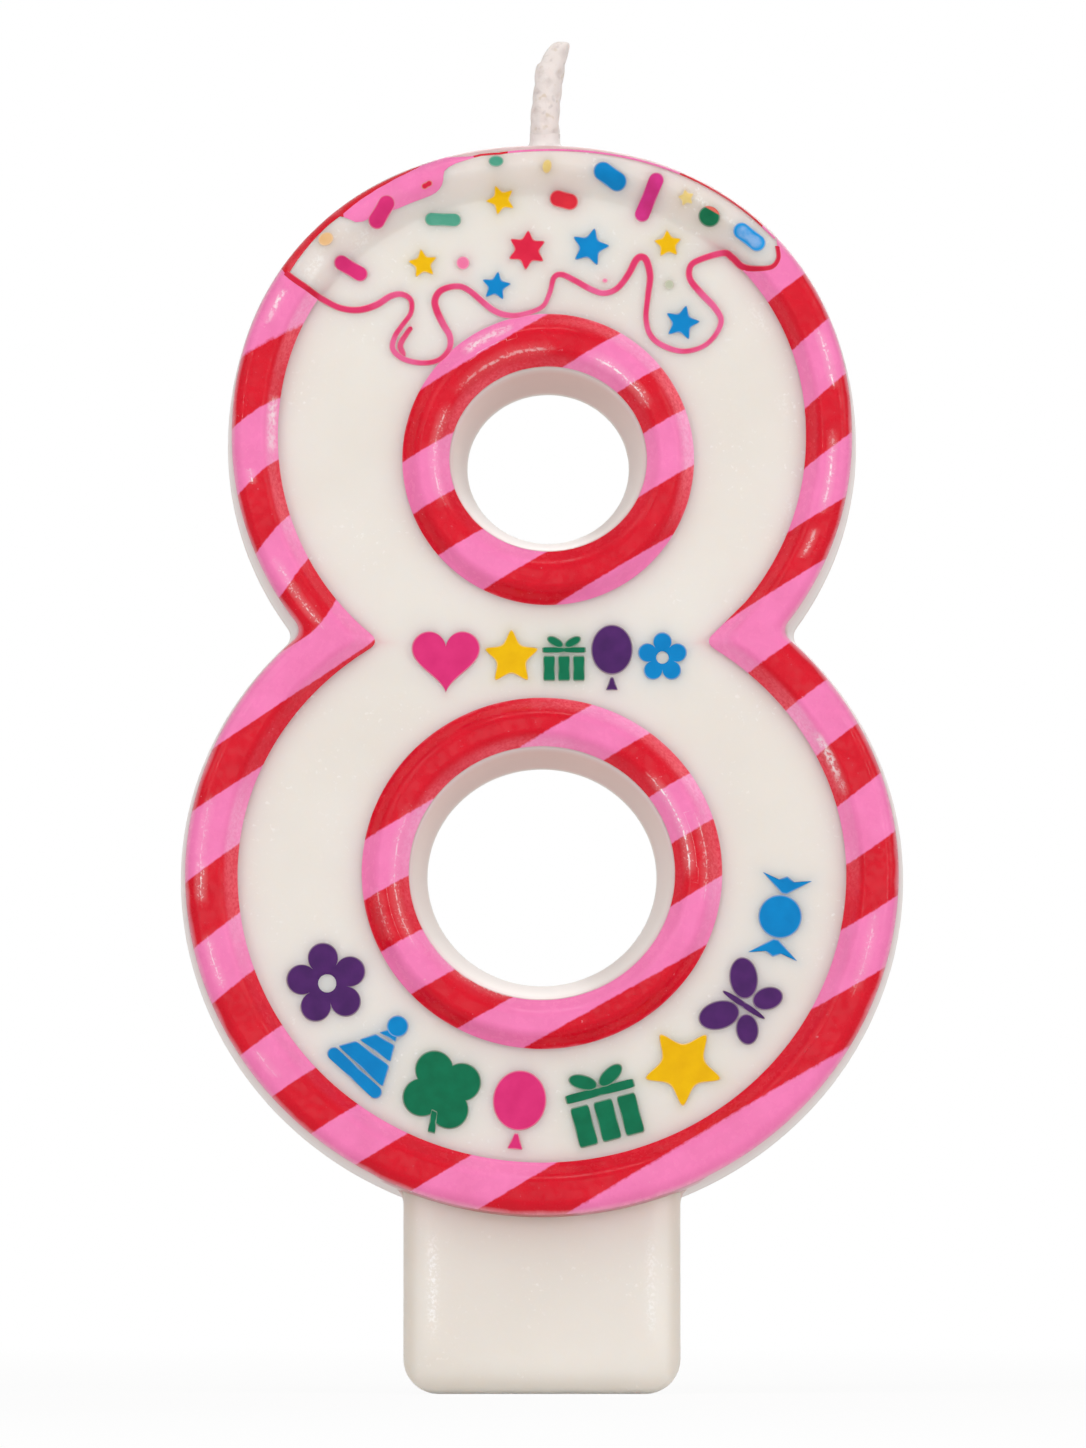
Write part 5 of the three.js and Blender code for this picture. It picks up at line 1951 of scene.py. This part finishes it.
    def stripe_numbers(self, turn: Array, x: Array, up: Array) -> Array:
        """Stripe numbers on the outer rim, whose stripes are a little uneven.

        The stripes turn about the middle of the rim, as steep as measured at that height, and
        their edges are the measured ones of that side.

        Args:
            turn: Place along the outline.
            x: Points' places across.
            up: Points' heights.

        Returns:
            The stripe number of each point.
        """
        middle_x, middle_up = self.figure.outline(turn, self.rim_middle)
        right = smooth_step(middle_x, -6, 6)
        left_slope = lookup(LEFT_SLOPES, middle_up)
        slope = left_slope + (lookup(RIGHT_SLOPES, middle_up) - left_slope) * right
        across = middle_up - STRIPE_SLOPE * middle_x + (up - middle_up) - slope * (x - middle_x)
        left_number = Stripes(LEFT_EDGES).number(across)
        return left_number + (Stripes(RIGHT_EDGES).number(across) - left_number) * right

    def rim_film(self, film: bpy.types.Material) -> bpy.types.Object:
        """Makes the outer rim's film: the striped band, and the edge strip over the icing.

        Each row of the band lies at one inset and runs between the two places where the
        icing's line crosses it. The strip's inner edge is a wavy distance from the outline.
        """
        figure, draft = self.figure, Draft()
        first, last = self.print_inset, figure.foot
        rows = np.r_[first, np.linspace(first + 0.05, last, self.film_rows), last + self.print_margin]
        left = self.icing_end(rows, True)
        right = 4 + self.icing_end(rows, False)
        share = np.linspace(0, 1, self.rim_columns)[None, :]
        turn = left[:, None] + (right - left)[:, None] * self.spread(left.mean(), right.mean(), share)
        inset = rows[:, None] + 0 * turn
        x, up = figure.outline(turn, inset)
        # The stretch layer is a painted sheen on the rim's inner flank, as strong as the tables give
        flank = smooth_step(inset, figure.flank_start, figure.flank_start + 0.3)
        draft.film(
            x,
            up,
            figure.rim_depth(inset, up),
            stripe=self.stripe_numbers(turn, x, up),
            border=np.minimum(inset - self.print_inset, 9),
            stretch=flank * np.where(x < 0, lookup(LEFT_FLANK_SHEEN, up), lookup(RIGHT_FLANK_SHEEN, up)),
            **glint_layers(RIM_GLINTS, inset, up, x),
        )
        self.edge_strip(draft, float(left[0]), float(right[0]) - 4)
        return fit(draft.finish("rim_transfer", film), "print_outer_rim")

    def spread(self, start: float, end: float, share: Array) -> Array:
        """Shares of the way along the outline that make the columns about equally wide.

        Args:
            start: Mean turn at the band's start.
            end: Mean turn at the band's end.
            share: Even shares.

        Returns:
            The shares of the turn.
        """
        turn = np.linspace(start, end, 4000)
        length = lengths(np.stack(self.figure.outline(turn, 1.5), -1))
        return np.interp(share * length[-1], length, (turn - start) / (end - start))

    def edge_strip(self, draft: Draft, left: float, right: float) -> None:
        """Adds the film's strip along the upper edge, with the pink patch at the left.

        Its inner edge is given at a few places along the outline and joined smoothly.

        Args:
            draft: The film's mesh.
            left: Turn of the band's left end.
            right: Turn of the band's right end.
        """
        figure = self.figure
        turn = np.linspace(right, left, self.strip_columns)
        outer = self.print_inset - 0.04
        middle_x, _ = figure.outline(turn, 1.0)
        place, reach, red = np.array(UPPER_STRIP).T
        reach = np.interp(middle_x, place, reach)
        red = np.interp(middle_x, place, red)
        start = np.clip((middle_x + 6.2) / 1.6, 0, 1) * np.clip(reach - 0.17, 0, 9)
        across = start + np.linspace(0, 1, self.strip_rows)[:, None] * (reach - start)
        x, up = figure.outline(turn[None, :], outer + across)
        number = 1 + 0.5 * np.clip((across - red) / 0.05, -1, 1)
        depth = figure.rim_depth(outer + across, up)
        plain = 0 * across
        layers = {"stripe": number, "border": 0.3 + plain, "stretch": plain}
        layers |= {"crest": 9 + plain, "rub": plain, "spread": 1 + plain}
        draft.film(x, up, depth, lift=0.03, **layers)

    def ring_film(
        self, which: str, ring: Ring, stripes: Stripes, glints: tuple[Glint, ...], film: bpy.types.Material
    ) -> bpy.types.Object:
        """Makes a ring's film, from just outside its foot to just short of the hole's lip.

        Args:
            which: The word for the ring in the names of the piece and the node.
            ring: The ring that it lies on.
            stripes: Its stripes.
            glints: Where highlights are painted on its crests.
            film: The striped material.

        Returns:
            The film.
        """
        draft, band = Draft(), self.figure.ring_band
        sink = np.r_[np.linspace(-0.08, band - 0.16, self.film_rows), band - 0.06][:, None]
        angle = even_angles(self.ring_columns)[None, :]
        x, up = ring.point(angle, sink)
        ragged = 0.02 * np.sin(19 * angle) + 0.015 * np.sin(43 * angle + 1)
        depth = self.figure.ring_depth(sink + 0 * angle)
        steep = stripes.low_slope + (stripes.slope - stripes.low_slope) * smooth_step(up, 27, 37)
        across = up - steep * x
        border = np.minimum(sink + 0.08, band - sink) + 0.2 + ragged
        # The stretch layer is a painted sheen on the outer flank towards the upper right and the inner flank
        # towards the upper left
        stretch = (1 - smooth_step(sink, 0.35, 0.95)) * smooth_step(np.cos(angle - 0.6), 0.2, 0.9)
        inner = smooth_step(sink, 2.1, 2.75) * (0.25 + 0.75 * smooth_step(np.cos(angle - 2.2), 0.1, 0.8))
        degrees = np.mod(np.degrees(angle) + 30, 360) - 30
        layers = {"stripe": stripes.number(across), "border": border}
        layers["stretch"] = np.maximum(stretch, 0.8 * inner)
        layers |= glint_layers(glints, sink + 0 * angle, degrees + 0 * sink, x)
        draft.film(x, up, depth, wrap=True, **layers)
        return fit(draft.finish(which + "_ring_transfer", film), f"print_{which}_ring")

    def stroke(self, draft: Draft, line: Array, width: Array, lift: float, redness: Array) -> None:
        """Adds a line of ink along a path: points a share of the width to either side.

        Args:
            draft: The line's mesh.
            line: Points along the path.
            width: Width at each of them.
            lift: How far the ink stands over the wax.
            redness: How red it is at each of them.
        """
        along = np.gradient(line, axis=0)
        along /= np.hypot(*along.T)[:, None]
        side = np.stack([-along[:, 1], along[:, 0]], -1)
        share = np.linspace(-0.5, 0.5, 7)[:, None, None]
        points = line[None] + side[None] * share * width[None, :, None]
        x, up = points[..., 0], points[..., 1]
        border = (0.5 - np.abs(share[..., 0])) * width[None, :]
        draft.film(x, up, self.figure.front_depth(x, up), lift=lift, border=border, redness=redness[None, :])
        self.borders.append((line[::6], "#F8B4C2"))

    def icing_line(self, ink: bpy.types.Material) -> bpy.types.Object:
        """Makes the icing's drip line and the short hook in its left drip."""
        draft = Draft()
        line = self.curve(self.drips, self.line_points)
        line = line[self.figure.inset_of(line[:, 0], line[:, 1]) > 1.0]
        way = np.linspace(0, 1, len(line))
        width = self.line_width * (1 + 0.12 * np.sin(23 * way) + 0.08 * np.sin(61 * way + 1))
        inset = self.figure.inset_of(line[:, 0], line[:, 1])
        redness = smooth_step(-inset, -4.4, -3.6)
        self.stroke(draft, line, width, 0.06, redness)
        hook = self.curve(self.hook, self.hook_points)
        way = np.linspace(0, 1, self.hook_points)
        taper = self.line_width * (0.8 + 0.4 * way) * (1 - way**6) ** 0.5 * np.minimum(1, way / 0.06 + 0.3)
        self.stroke(draft, hook, taper, 0.075, np.full(self.hook_points, 0.35))
        return fit(draft.finish("icing_drip_line", ink), "print_icing_line")

    def spot(self, spot: Spot, ink: bpy.types.Material) -> bpy.types.Object:
        """Makes one small print.

        Each island is a grid from its middle to its outline, evenly spaced on every ray.

        Args:
            spot: What is printed, and where.
            ink: Its material.

        Returns:
            The print.
        """
        draft = Draft()
        turn = math.radians(spot.degrees)
        cosine, sine = math.cos(turn), math.sin(turn)
        for number, island in enumerate(map(evenly, spot.islands)):
            centre = island.mean(0)
            arm = island - centre
            reach = np.hypot(*arm.T)[None, :]
            share = np.r_[np.linspace(0, 0.92, self.spot_rows), 0.97, 1.0][:, None, None]
            least = spot.open_middle / reach[..., None]
            share = least + (1 - least) * share
            local = centre + arm[None] * share
            x = spot.x + local[..., 0] * cosine - local[..., 1] * sine
            up = spot.up + local[..., 0] * sine + local[..., 1] * cosine
            draft.film(
                x,
                up,
                self.figure.front_depth(x, up),
                wrap=True,
                pole=spot.open_middle == 0,
                lift=0.055 + 0.003 * number,
                border=(1 - share[..., 0]) * reach,
                cap=local[..., 1] - 0.62 * island[:, 1].max(),
            )
            self.borders.append((np.stack([x[-1], up[-1]], -1), spot.colour.value.glow))
        return fit(draft.finish("ink_" + spot.node, ink), spot.node)

    def spots(self) -> list[Spot]:
        """Lists the small prints, with their places on the upper lobe's grid or in a row."""
        s, b, w, c, d = self.star_size, self.bar_length, self.bar_width, self.chip, self.dot
        scattered = [
            ("star_yellow_left", Colour.YELLOW, star(5, s, 0.5), (-0.374, 0.564), 8),
            ("star_yellow_top", Colour.YELLOW, star(5, s, 0.5), (-0.129, 0.777), 22),
            ("star_yellow_right", Colour.YELLOW, star(5, 0.93 * s, 0.55), (0.396, 0.63), 4),
            ("star_pale_yellow", Colour.PALE_YELLOW, star(5, 0.55 * s, 0.6), (0.453, 0.78), 10),
            ("star_red", Colour.CARMINE, star(6, 1.3 * s, 0.58), (-0.047, 0.61), -4),
            ("star_blue_left", Colour.BLUE, star(5, s, 0.5), (-0.144, 0.489), -8),
            ("star_blue_middle", Colour.BLUE, star(5, 1.3 * s, 0.5), (0.151, 0.62), -14),
            ("star_blue_drip", Colour.BLUE, star(5, 1.2 * s, 0.5), (0.44, 0.367), -14),
            ("bar_magenta_tilted", Colour.MAGENTA, bar(b, w), (-0.503, 0.734), 59),
            ("bar_magenta_left", Colour.MAGENTA, bar(b, 0.9 * w), (-0.6, 0.548), -30),
            ("bar_magenta_long", Colour.DEEP_MAGENTA, bar(1.4 * b, 0.9 * w), (0.337, 0.784), 67),
            ("bar_teal", Colour.TEAL, bar(b, 0.78 * w), (-0.311, 0.712), -2),
            ("bar_red", Colour.RED, bar(0.8 * b, w), (0.069, 0.777), -15),
            ("bar_blue", Colour.BLUE, bar(b, 1.14 * w), (0.214, 0.852), -35),
            ("bar_blue_scuffed", Colour.RUBBED_BLUE, bar(b, w), (0.651, 0.649), -38),
            ("chip_red", Colour.CARMINE, bar(0.82 * c, 0.42 * c), (-0.361, 0.823), 30),
            ("chip_teal", Colour.TEAL, oval(c, 0.74 * c), (-0.144, 0.902), 0),
            ("chip_green", Colour.CAPPED_GREEN, oval(1.45 * c, 1.3 * c), (0.525, 0.718), -30),
            ("dot_orange", Colour.ORANGE, oval(1.2 * d, d), (-0.678, 0.642), 30),
            ("dot_yellow", Colour.PALE_YELLOW, oval(0.72 * d, 1.05 * d), (0.016, 0.885), -10),
            ("dot_pink", Colour.PINK, oval(d, d), (-0.248, 0.567), 0),
            ("dot_grey_green", Colour.GREY_GREEN, oval(0.7 * d, 0.7 * d), (0.4, 0.495), 0),
            ("dot_small_pink", Colour.PINK, oval(0.42 * d, 0.35 * d), (0.198, 0.508), 0),
        ]
        made = []
        for name, colour, shape, place, degrees in scattered:
            x, up = self.figure.on_grid(place)
            made.append(Spot(name, colour, (shape,), float(x), float(up), degrees))
        return made + self.row() + self.arc()

    def row(self) -> list[Spot]:
        """The five motifs between the rings."""
        m = self.row_motif
        upper, lower = self.figure.rings
        up = (upper.up - upper.radius + lower.up + lower.radius - lower.foot_flatten) / 2 - self.row_drop
        motifs = [
            ("row_heart", Colour.MAGENTA, (heart(m),), -1.4),
            ("row_star", Colour.YELLOW, (star(5, 0.83 * m, 0.5),), -0.444),
            ("row_gift", Colour.GREEN, Motif.gift(0.69 * m), 0.322),
            ("row_balloon", Colour.PURPLE, Motif.balloon(0.61 * m, 0.96 * m), 1.02),
            ("row_flower", Colour.BLUE, (flower(0.74 * m),), 1.756),
        ]
        return [
            Spot(name, colour, shape, at * m, up, 0, 0.09 * m * name.endswith("flower"))
            for name, colour, shape, at in motifs
        ]

    def arc(self) -> list[Spot]:
        """The eight motifs under the lower ring, on an ellipse halfway out to the rim."""
        m, figure = self.arc_motif, self.figure
        ring = figure.lower_ring
        foot = figure.lower.centre - figure.lower.drop + figure.foot
        reach = (ring.radius + figure.lower.half_width - figure.foot) / 2
        fall = (ring.radius - ring.foot_flatten + ring.up - foot) / 2 + self.arc_drop
        motifs = [
            ("arc_flower", Colour.PURPLE, (flower(m),), -152.4),
            ("arc_hat", Colour.BLUE, Motif.hat(0.85 * m, 0.98 * m), -132.7),
            ("arc_clover", Colour.GREEN, Motif.clover(0.87 * m), -114.4),
            ("arc_balloon", Colour.MAGENTA, Motif.balloon(0.65 * m, 0.96 * m), -95.5),
            ("arc_gift", Colour.GREEN, Motif.gift(0.93 * m), -75.4),
            ("arc_star", Colour.YELLOW, (star(5, 0.98 * m, 0.5),), -54.4),
            ("arc_butterfly", Colour.PURPLE, Motif.butterfly(m), -33.6),
            ("arc_sweet", Colour.BLUE, Motif.sweet(m, 0.63 * m), -10.5),
        ]
        made = []
        for name, colour, shape, degrees in motifs:
            angle = math.radians(degrees)
            x, up = ring.x + reach * math.cos(angle), ring.up + fall * math.sin(angle)
            middle = 0.11 * m * name.endswith("flower")
            made.append(Spot(name, colour, shape, x, up, degrees + 90, middle))
        return made

    def build(self) -> None:
        """Makes every print."""
        film = StripedTransfer().build()
        self.rim_film(film)
        upper_edges = MAIN_EDGES[:13] + (62.7, 66.5, 70.6) + MAIN_EDGES[16:]
        lower_edges = MAIN_EDGES[:3] + (23.35, 27.05, 31.0) + MAIN_EDGES[6:9] + (48.6, 51.2) + MAIN_EDGES[11:]
        upper, lower = self.figure.rings
        self.ring_film("upper", upper, Stripes(upper_edges), UPPER_RING_GLINTS, film)
        self.ring_film("lower", lower, Stripes(lower_edges, low_slope=0.56), LOWER_RING_GLINTS, film)
        self.icing_line(IcingInk().build())
        inks: dict[Colour, bpy.types.Material] = {}
        for spot in self.spots():
            if spot.colour not in inks:
                inks[spot.colour] = spot.colour.value.build()
            self.spot(spot, inks[spot.colour])


# Studio


def seen_straight(tree: bpy.types.NodeTree) -> Socket:
    """Is 1 where something is looked at, straight, through glass or in a mirror."""
    seen = node(tree, "LightPath").outputs
    straight = larger(tree, seen["Is Camera Ray"], seen["Is Transmission Ray"])
    return larger(tree, straight, seen["Is Glossy Ray"])


@dataclass(frozen=True)
class Softbox:
    """A rectangular studio lamp, placed by its direction from the candle's middle."""

    name: str
    azimuth: float
    elevation: float
    distance: float
    width: float
    height: float
    watts: float
    tint: str = "#FFFFFF"

    def build(self, aim: Vector) -> None:
        """Makes the lamp, turned towards a point."""
        lamp = bpy.data.lights.new(self.name, "AREA")
        lamp.shape, lamp.size, lamp.size_y = "RECTANGLE", self.width, self.height
        lamp.energy, lamp.color = self.watts, linear(self.tint)[:3]
        made = put(self.name, lamp)
        turn, lift = math.radians(self.azimuth), math.radians(self.elevation)
        back = Vector((math.sin(turn) * math.cos(lift), -math.cos(turn) * math.cos(lift), math.sin(lift)))
        made.location = aim + back * self.distance
        made.rotation_euler = (-back).to_track_quat("-Z", "Y").to_euler()
        made.visible_camera = False


@dataclass
class Studio:
    """Camera, lamps, white surround and pale floor."""

    camera_place: tuple[float, float, float] = (0.0002, -0.7708, 0.0111)
    camera_aim: tuple[float, float, float] = (0.00007, 0.0, 0.0441)
    lens: float = 290.8
    ambient: float = 0.385
    floor_size: float = 3.0
    floor_share: float = 0.92
    lamps: tuple[Softbox, ...] = (
        Softbox("left_strip", -24, 6, 0.95, 0.03, 0.55, 1.3),
        Softbox("right_strip", 27, 3, 0.95, 0.026, 0.55, 1.3),
        Softbox("left_softbox", -50, 30, 0.9, 0.35, 0.5, 1.1),
        Softbox("right_softbox", 56, 16, 0.9, 0.3, 0.5, 1.4),
        Softbox("top_softbox", -6, 62, 0.9, 0.4, 0.3, 1.45),
        Softbox("front_fill", 4, -4, 1.6, 1.2, 0.5, 2.6),
        Softbox("back_softbox", 165, 30, 1.2, 0.9, 0.7, 2.4),
    )

    def camera(self) -> None:
        """Makes the camera: a long lens, level with the candle's foot and tilted up."""
        data = bpy.data.cameras.new("camera")
        data.lens, data.sensor_width = self.lens, 36.0
        data.clip_start, data.clip_end = 0.05, 20
        made = put("camera", data)
        made.location = self.camera_place
        view = Vector(self.camera_aim) - Vector(self.camera_place)
        made.rotation_euler = view.to_track_quat("-Z", "Y").to_euler()
        bpy.context.scene.camera = made

    def world(self) -> None:
        """Makes the surround: white where it is seen or mirrored, softer where it lights."""
        world = bpy.data.worlds.new("studio")
        world.use_nodes = True
        tree = world.node_tree
        tree.nodes.clear()
        lit = node(tree, "Background", inputs={"Color": (1, 0.985, 0.97, 1), "Strength": self.ambient})
        white = node(tree, "Background", inputs={"Color": (1, 1, 1, 1), "Strength": 1.0})
        sides = {0: seen_straight(tree), 1: lit.outputs[0], 2: white.outputs[0]}
        both = node(tree, "MixShader", inputs=sides)
        node(tree, "OutputWorld", inputs={"Surface": both.outputs[0]})
        bpy.context.scene.world = world

    def floor(self) -> None:
        """Makes the pale floor. Part of it glows white for the camera, so shadows stay soft."""
        made, tree = new_material("pale_paper_floor")
        grain = cloudy(tree, 1.5, 2.0, 0.3, 0.7)
        paper = mix(tree, grain, linear("#F4F3F2"), linear("#F8F8F7"))
        matte = node(tree, "BsdfDiffuse", inputs={"Color": paper})
        glow = node(tree, "Emission", inputs={"Color": (1, 1, 1, 1), "Strength": 1.0})
        # The paper brightens from 6 cm to 30 cm away from the candle, till it is plain white
        place = node(tree, "TexCoord").outputs["Object"]
        away = node(tree, "VectorMath", {"operation": "LENGTH"}, {0: place}).outputs["Value"]
        bright = remap(tree, away, 0.06, 0.3, self.floor_share, 1.0)
        share = times(tree, seen_straight(tree), bright)
        both = node(tree, "MixShader", inputs={0: share, 1: matte.outputs[0], 2: glow.outputs[0]})
        node(tree, "OutputMaterial", inputs={"Surface": both.outputs[0]})
        half = self.floor_size / 2
        mesh = bpy.data.meshes.new("floor")
        corners = [(-half, -half, 0), (half, -half, 0), (half, half, 0), (-half, half, 0)]
        mesh.from_pydata(corners, [], [(0, 1, 2, 3)])
        mesh.materials.append(made)
        put("floor", mesh)

    def build(self) -> None:
        """Sets up the whole studio."""
        bpy.context.scene.view_settings.view_transform = "Standard"
        self.camera()
        self.world()
        self.floor()
        aim = Vector((0, 0, 0.045))
        for lamp in self.lamps:
            lamp.build(aim)


def main() -> None:
    """Builds the candle's pieces in order, then the studio."""
    logging.basicConfig(level=logging.INFO, format="%(name)s: %(message)s")
    figure = Figure()
    decoration = Decoration(figure)
    decoration.build()
    WaxCasting(figure).build(CastWax().build(), decoration.borders)
    wick = Wick()
    wick.build_wick(WaxedCotton().build())
    wick.build_seal(SealWax().build())
    Studio().build()


if __name__ == "__main__":
    main()
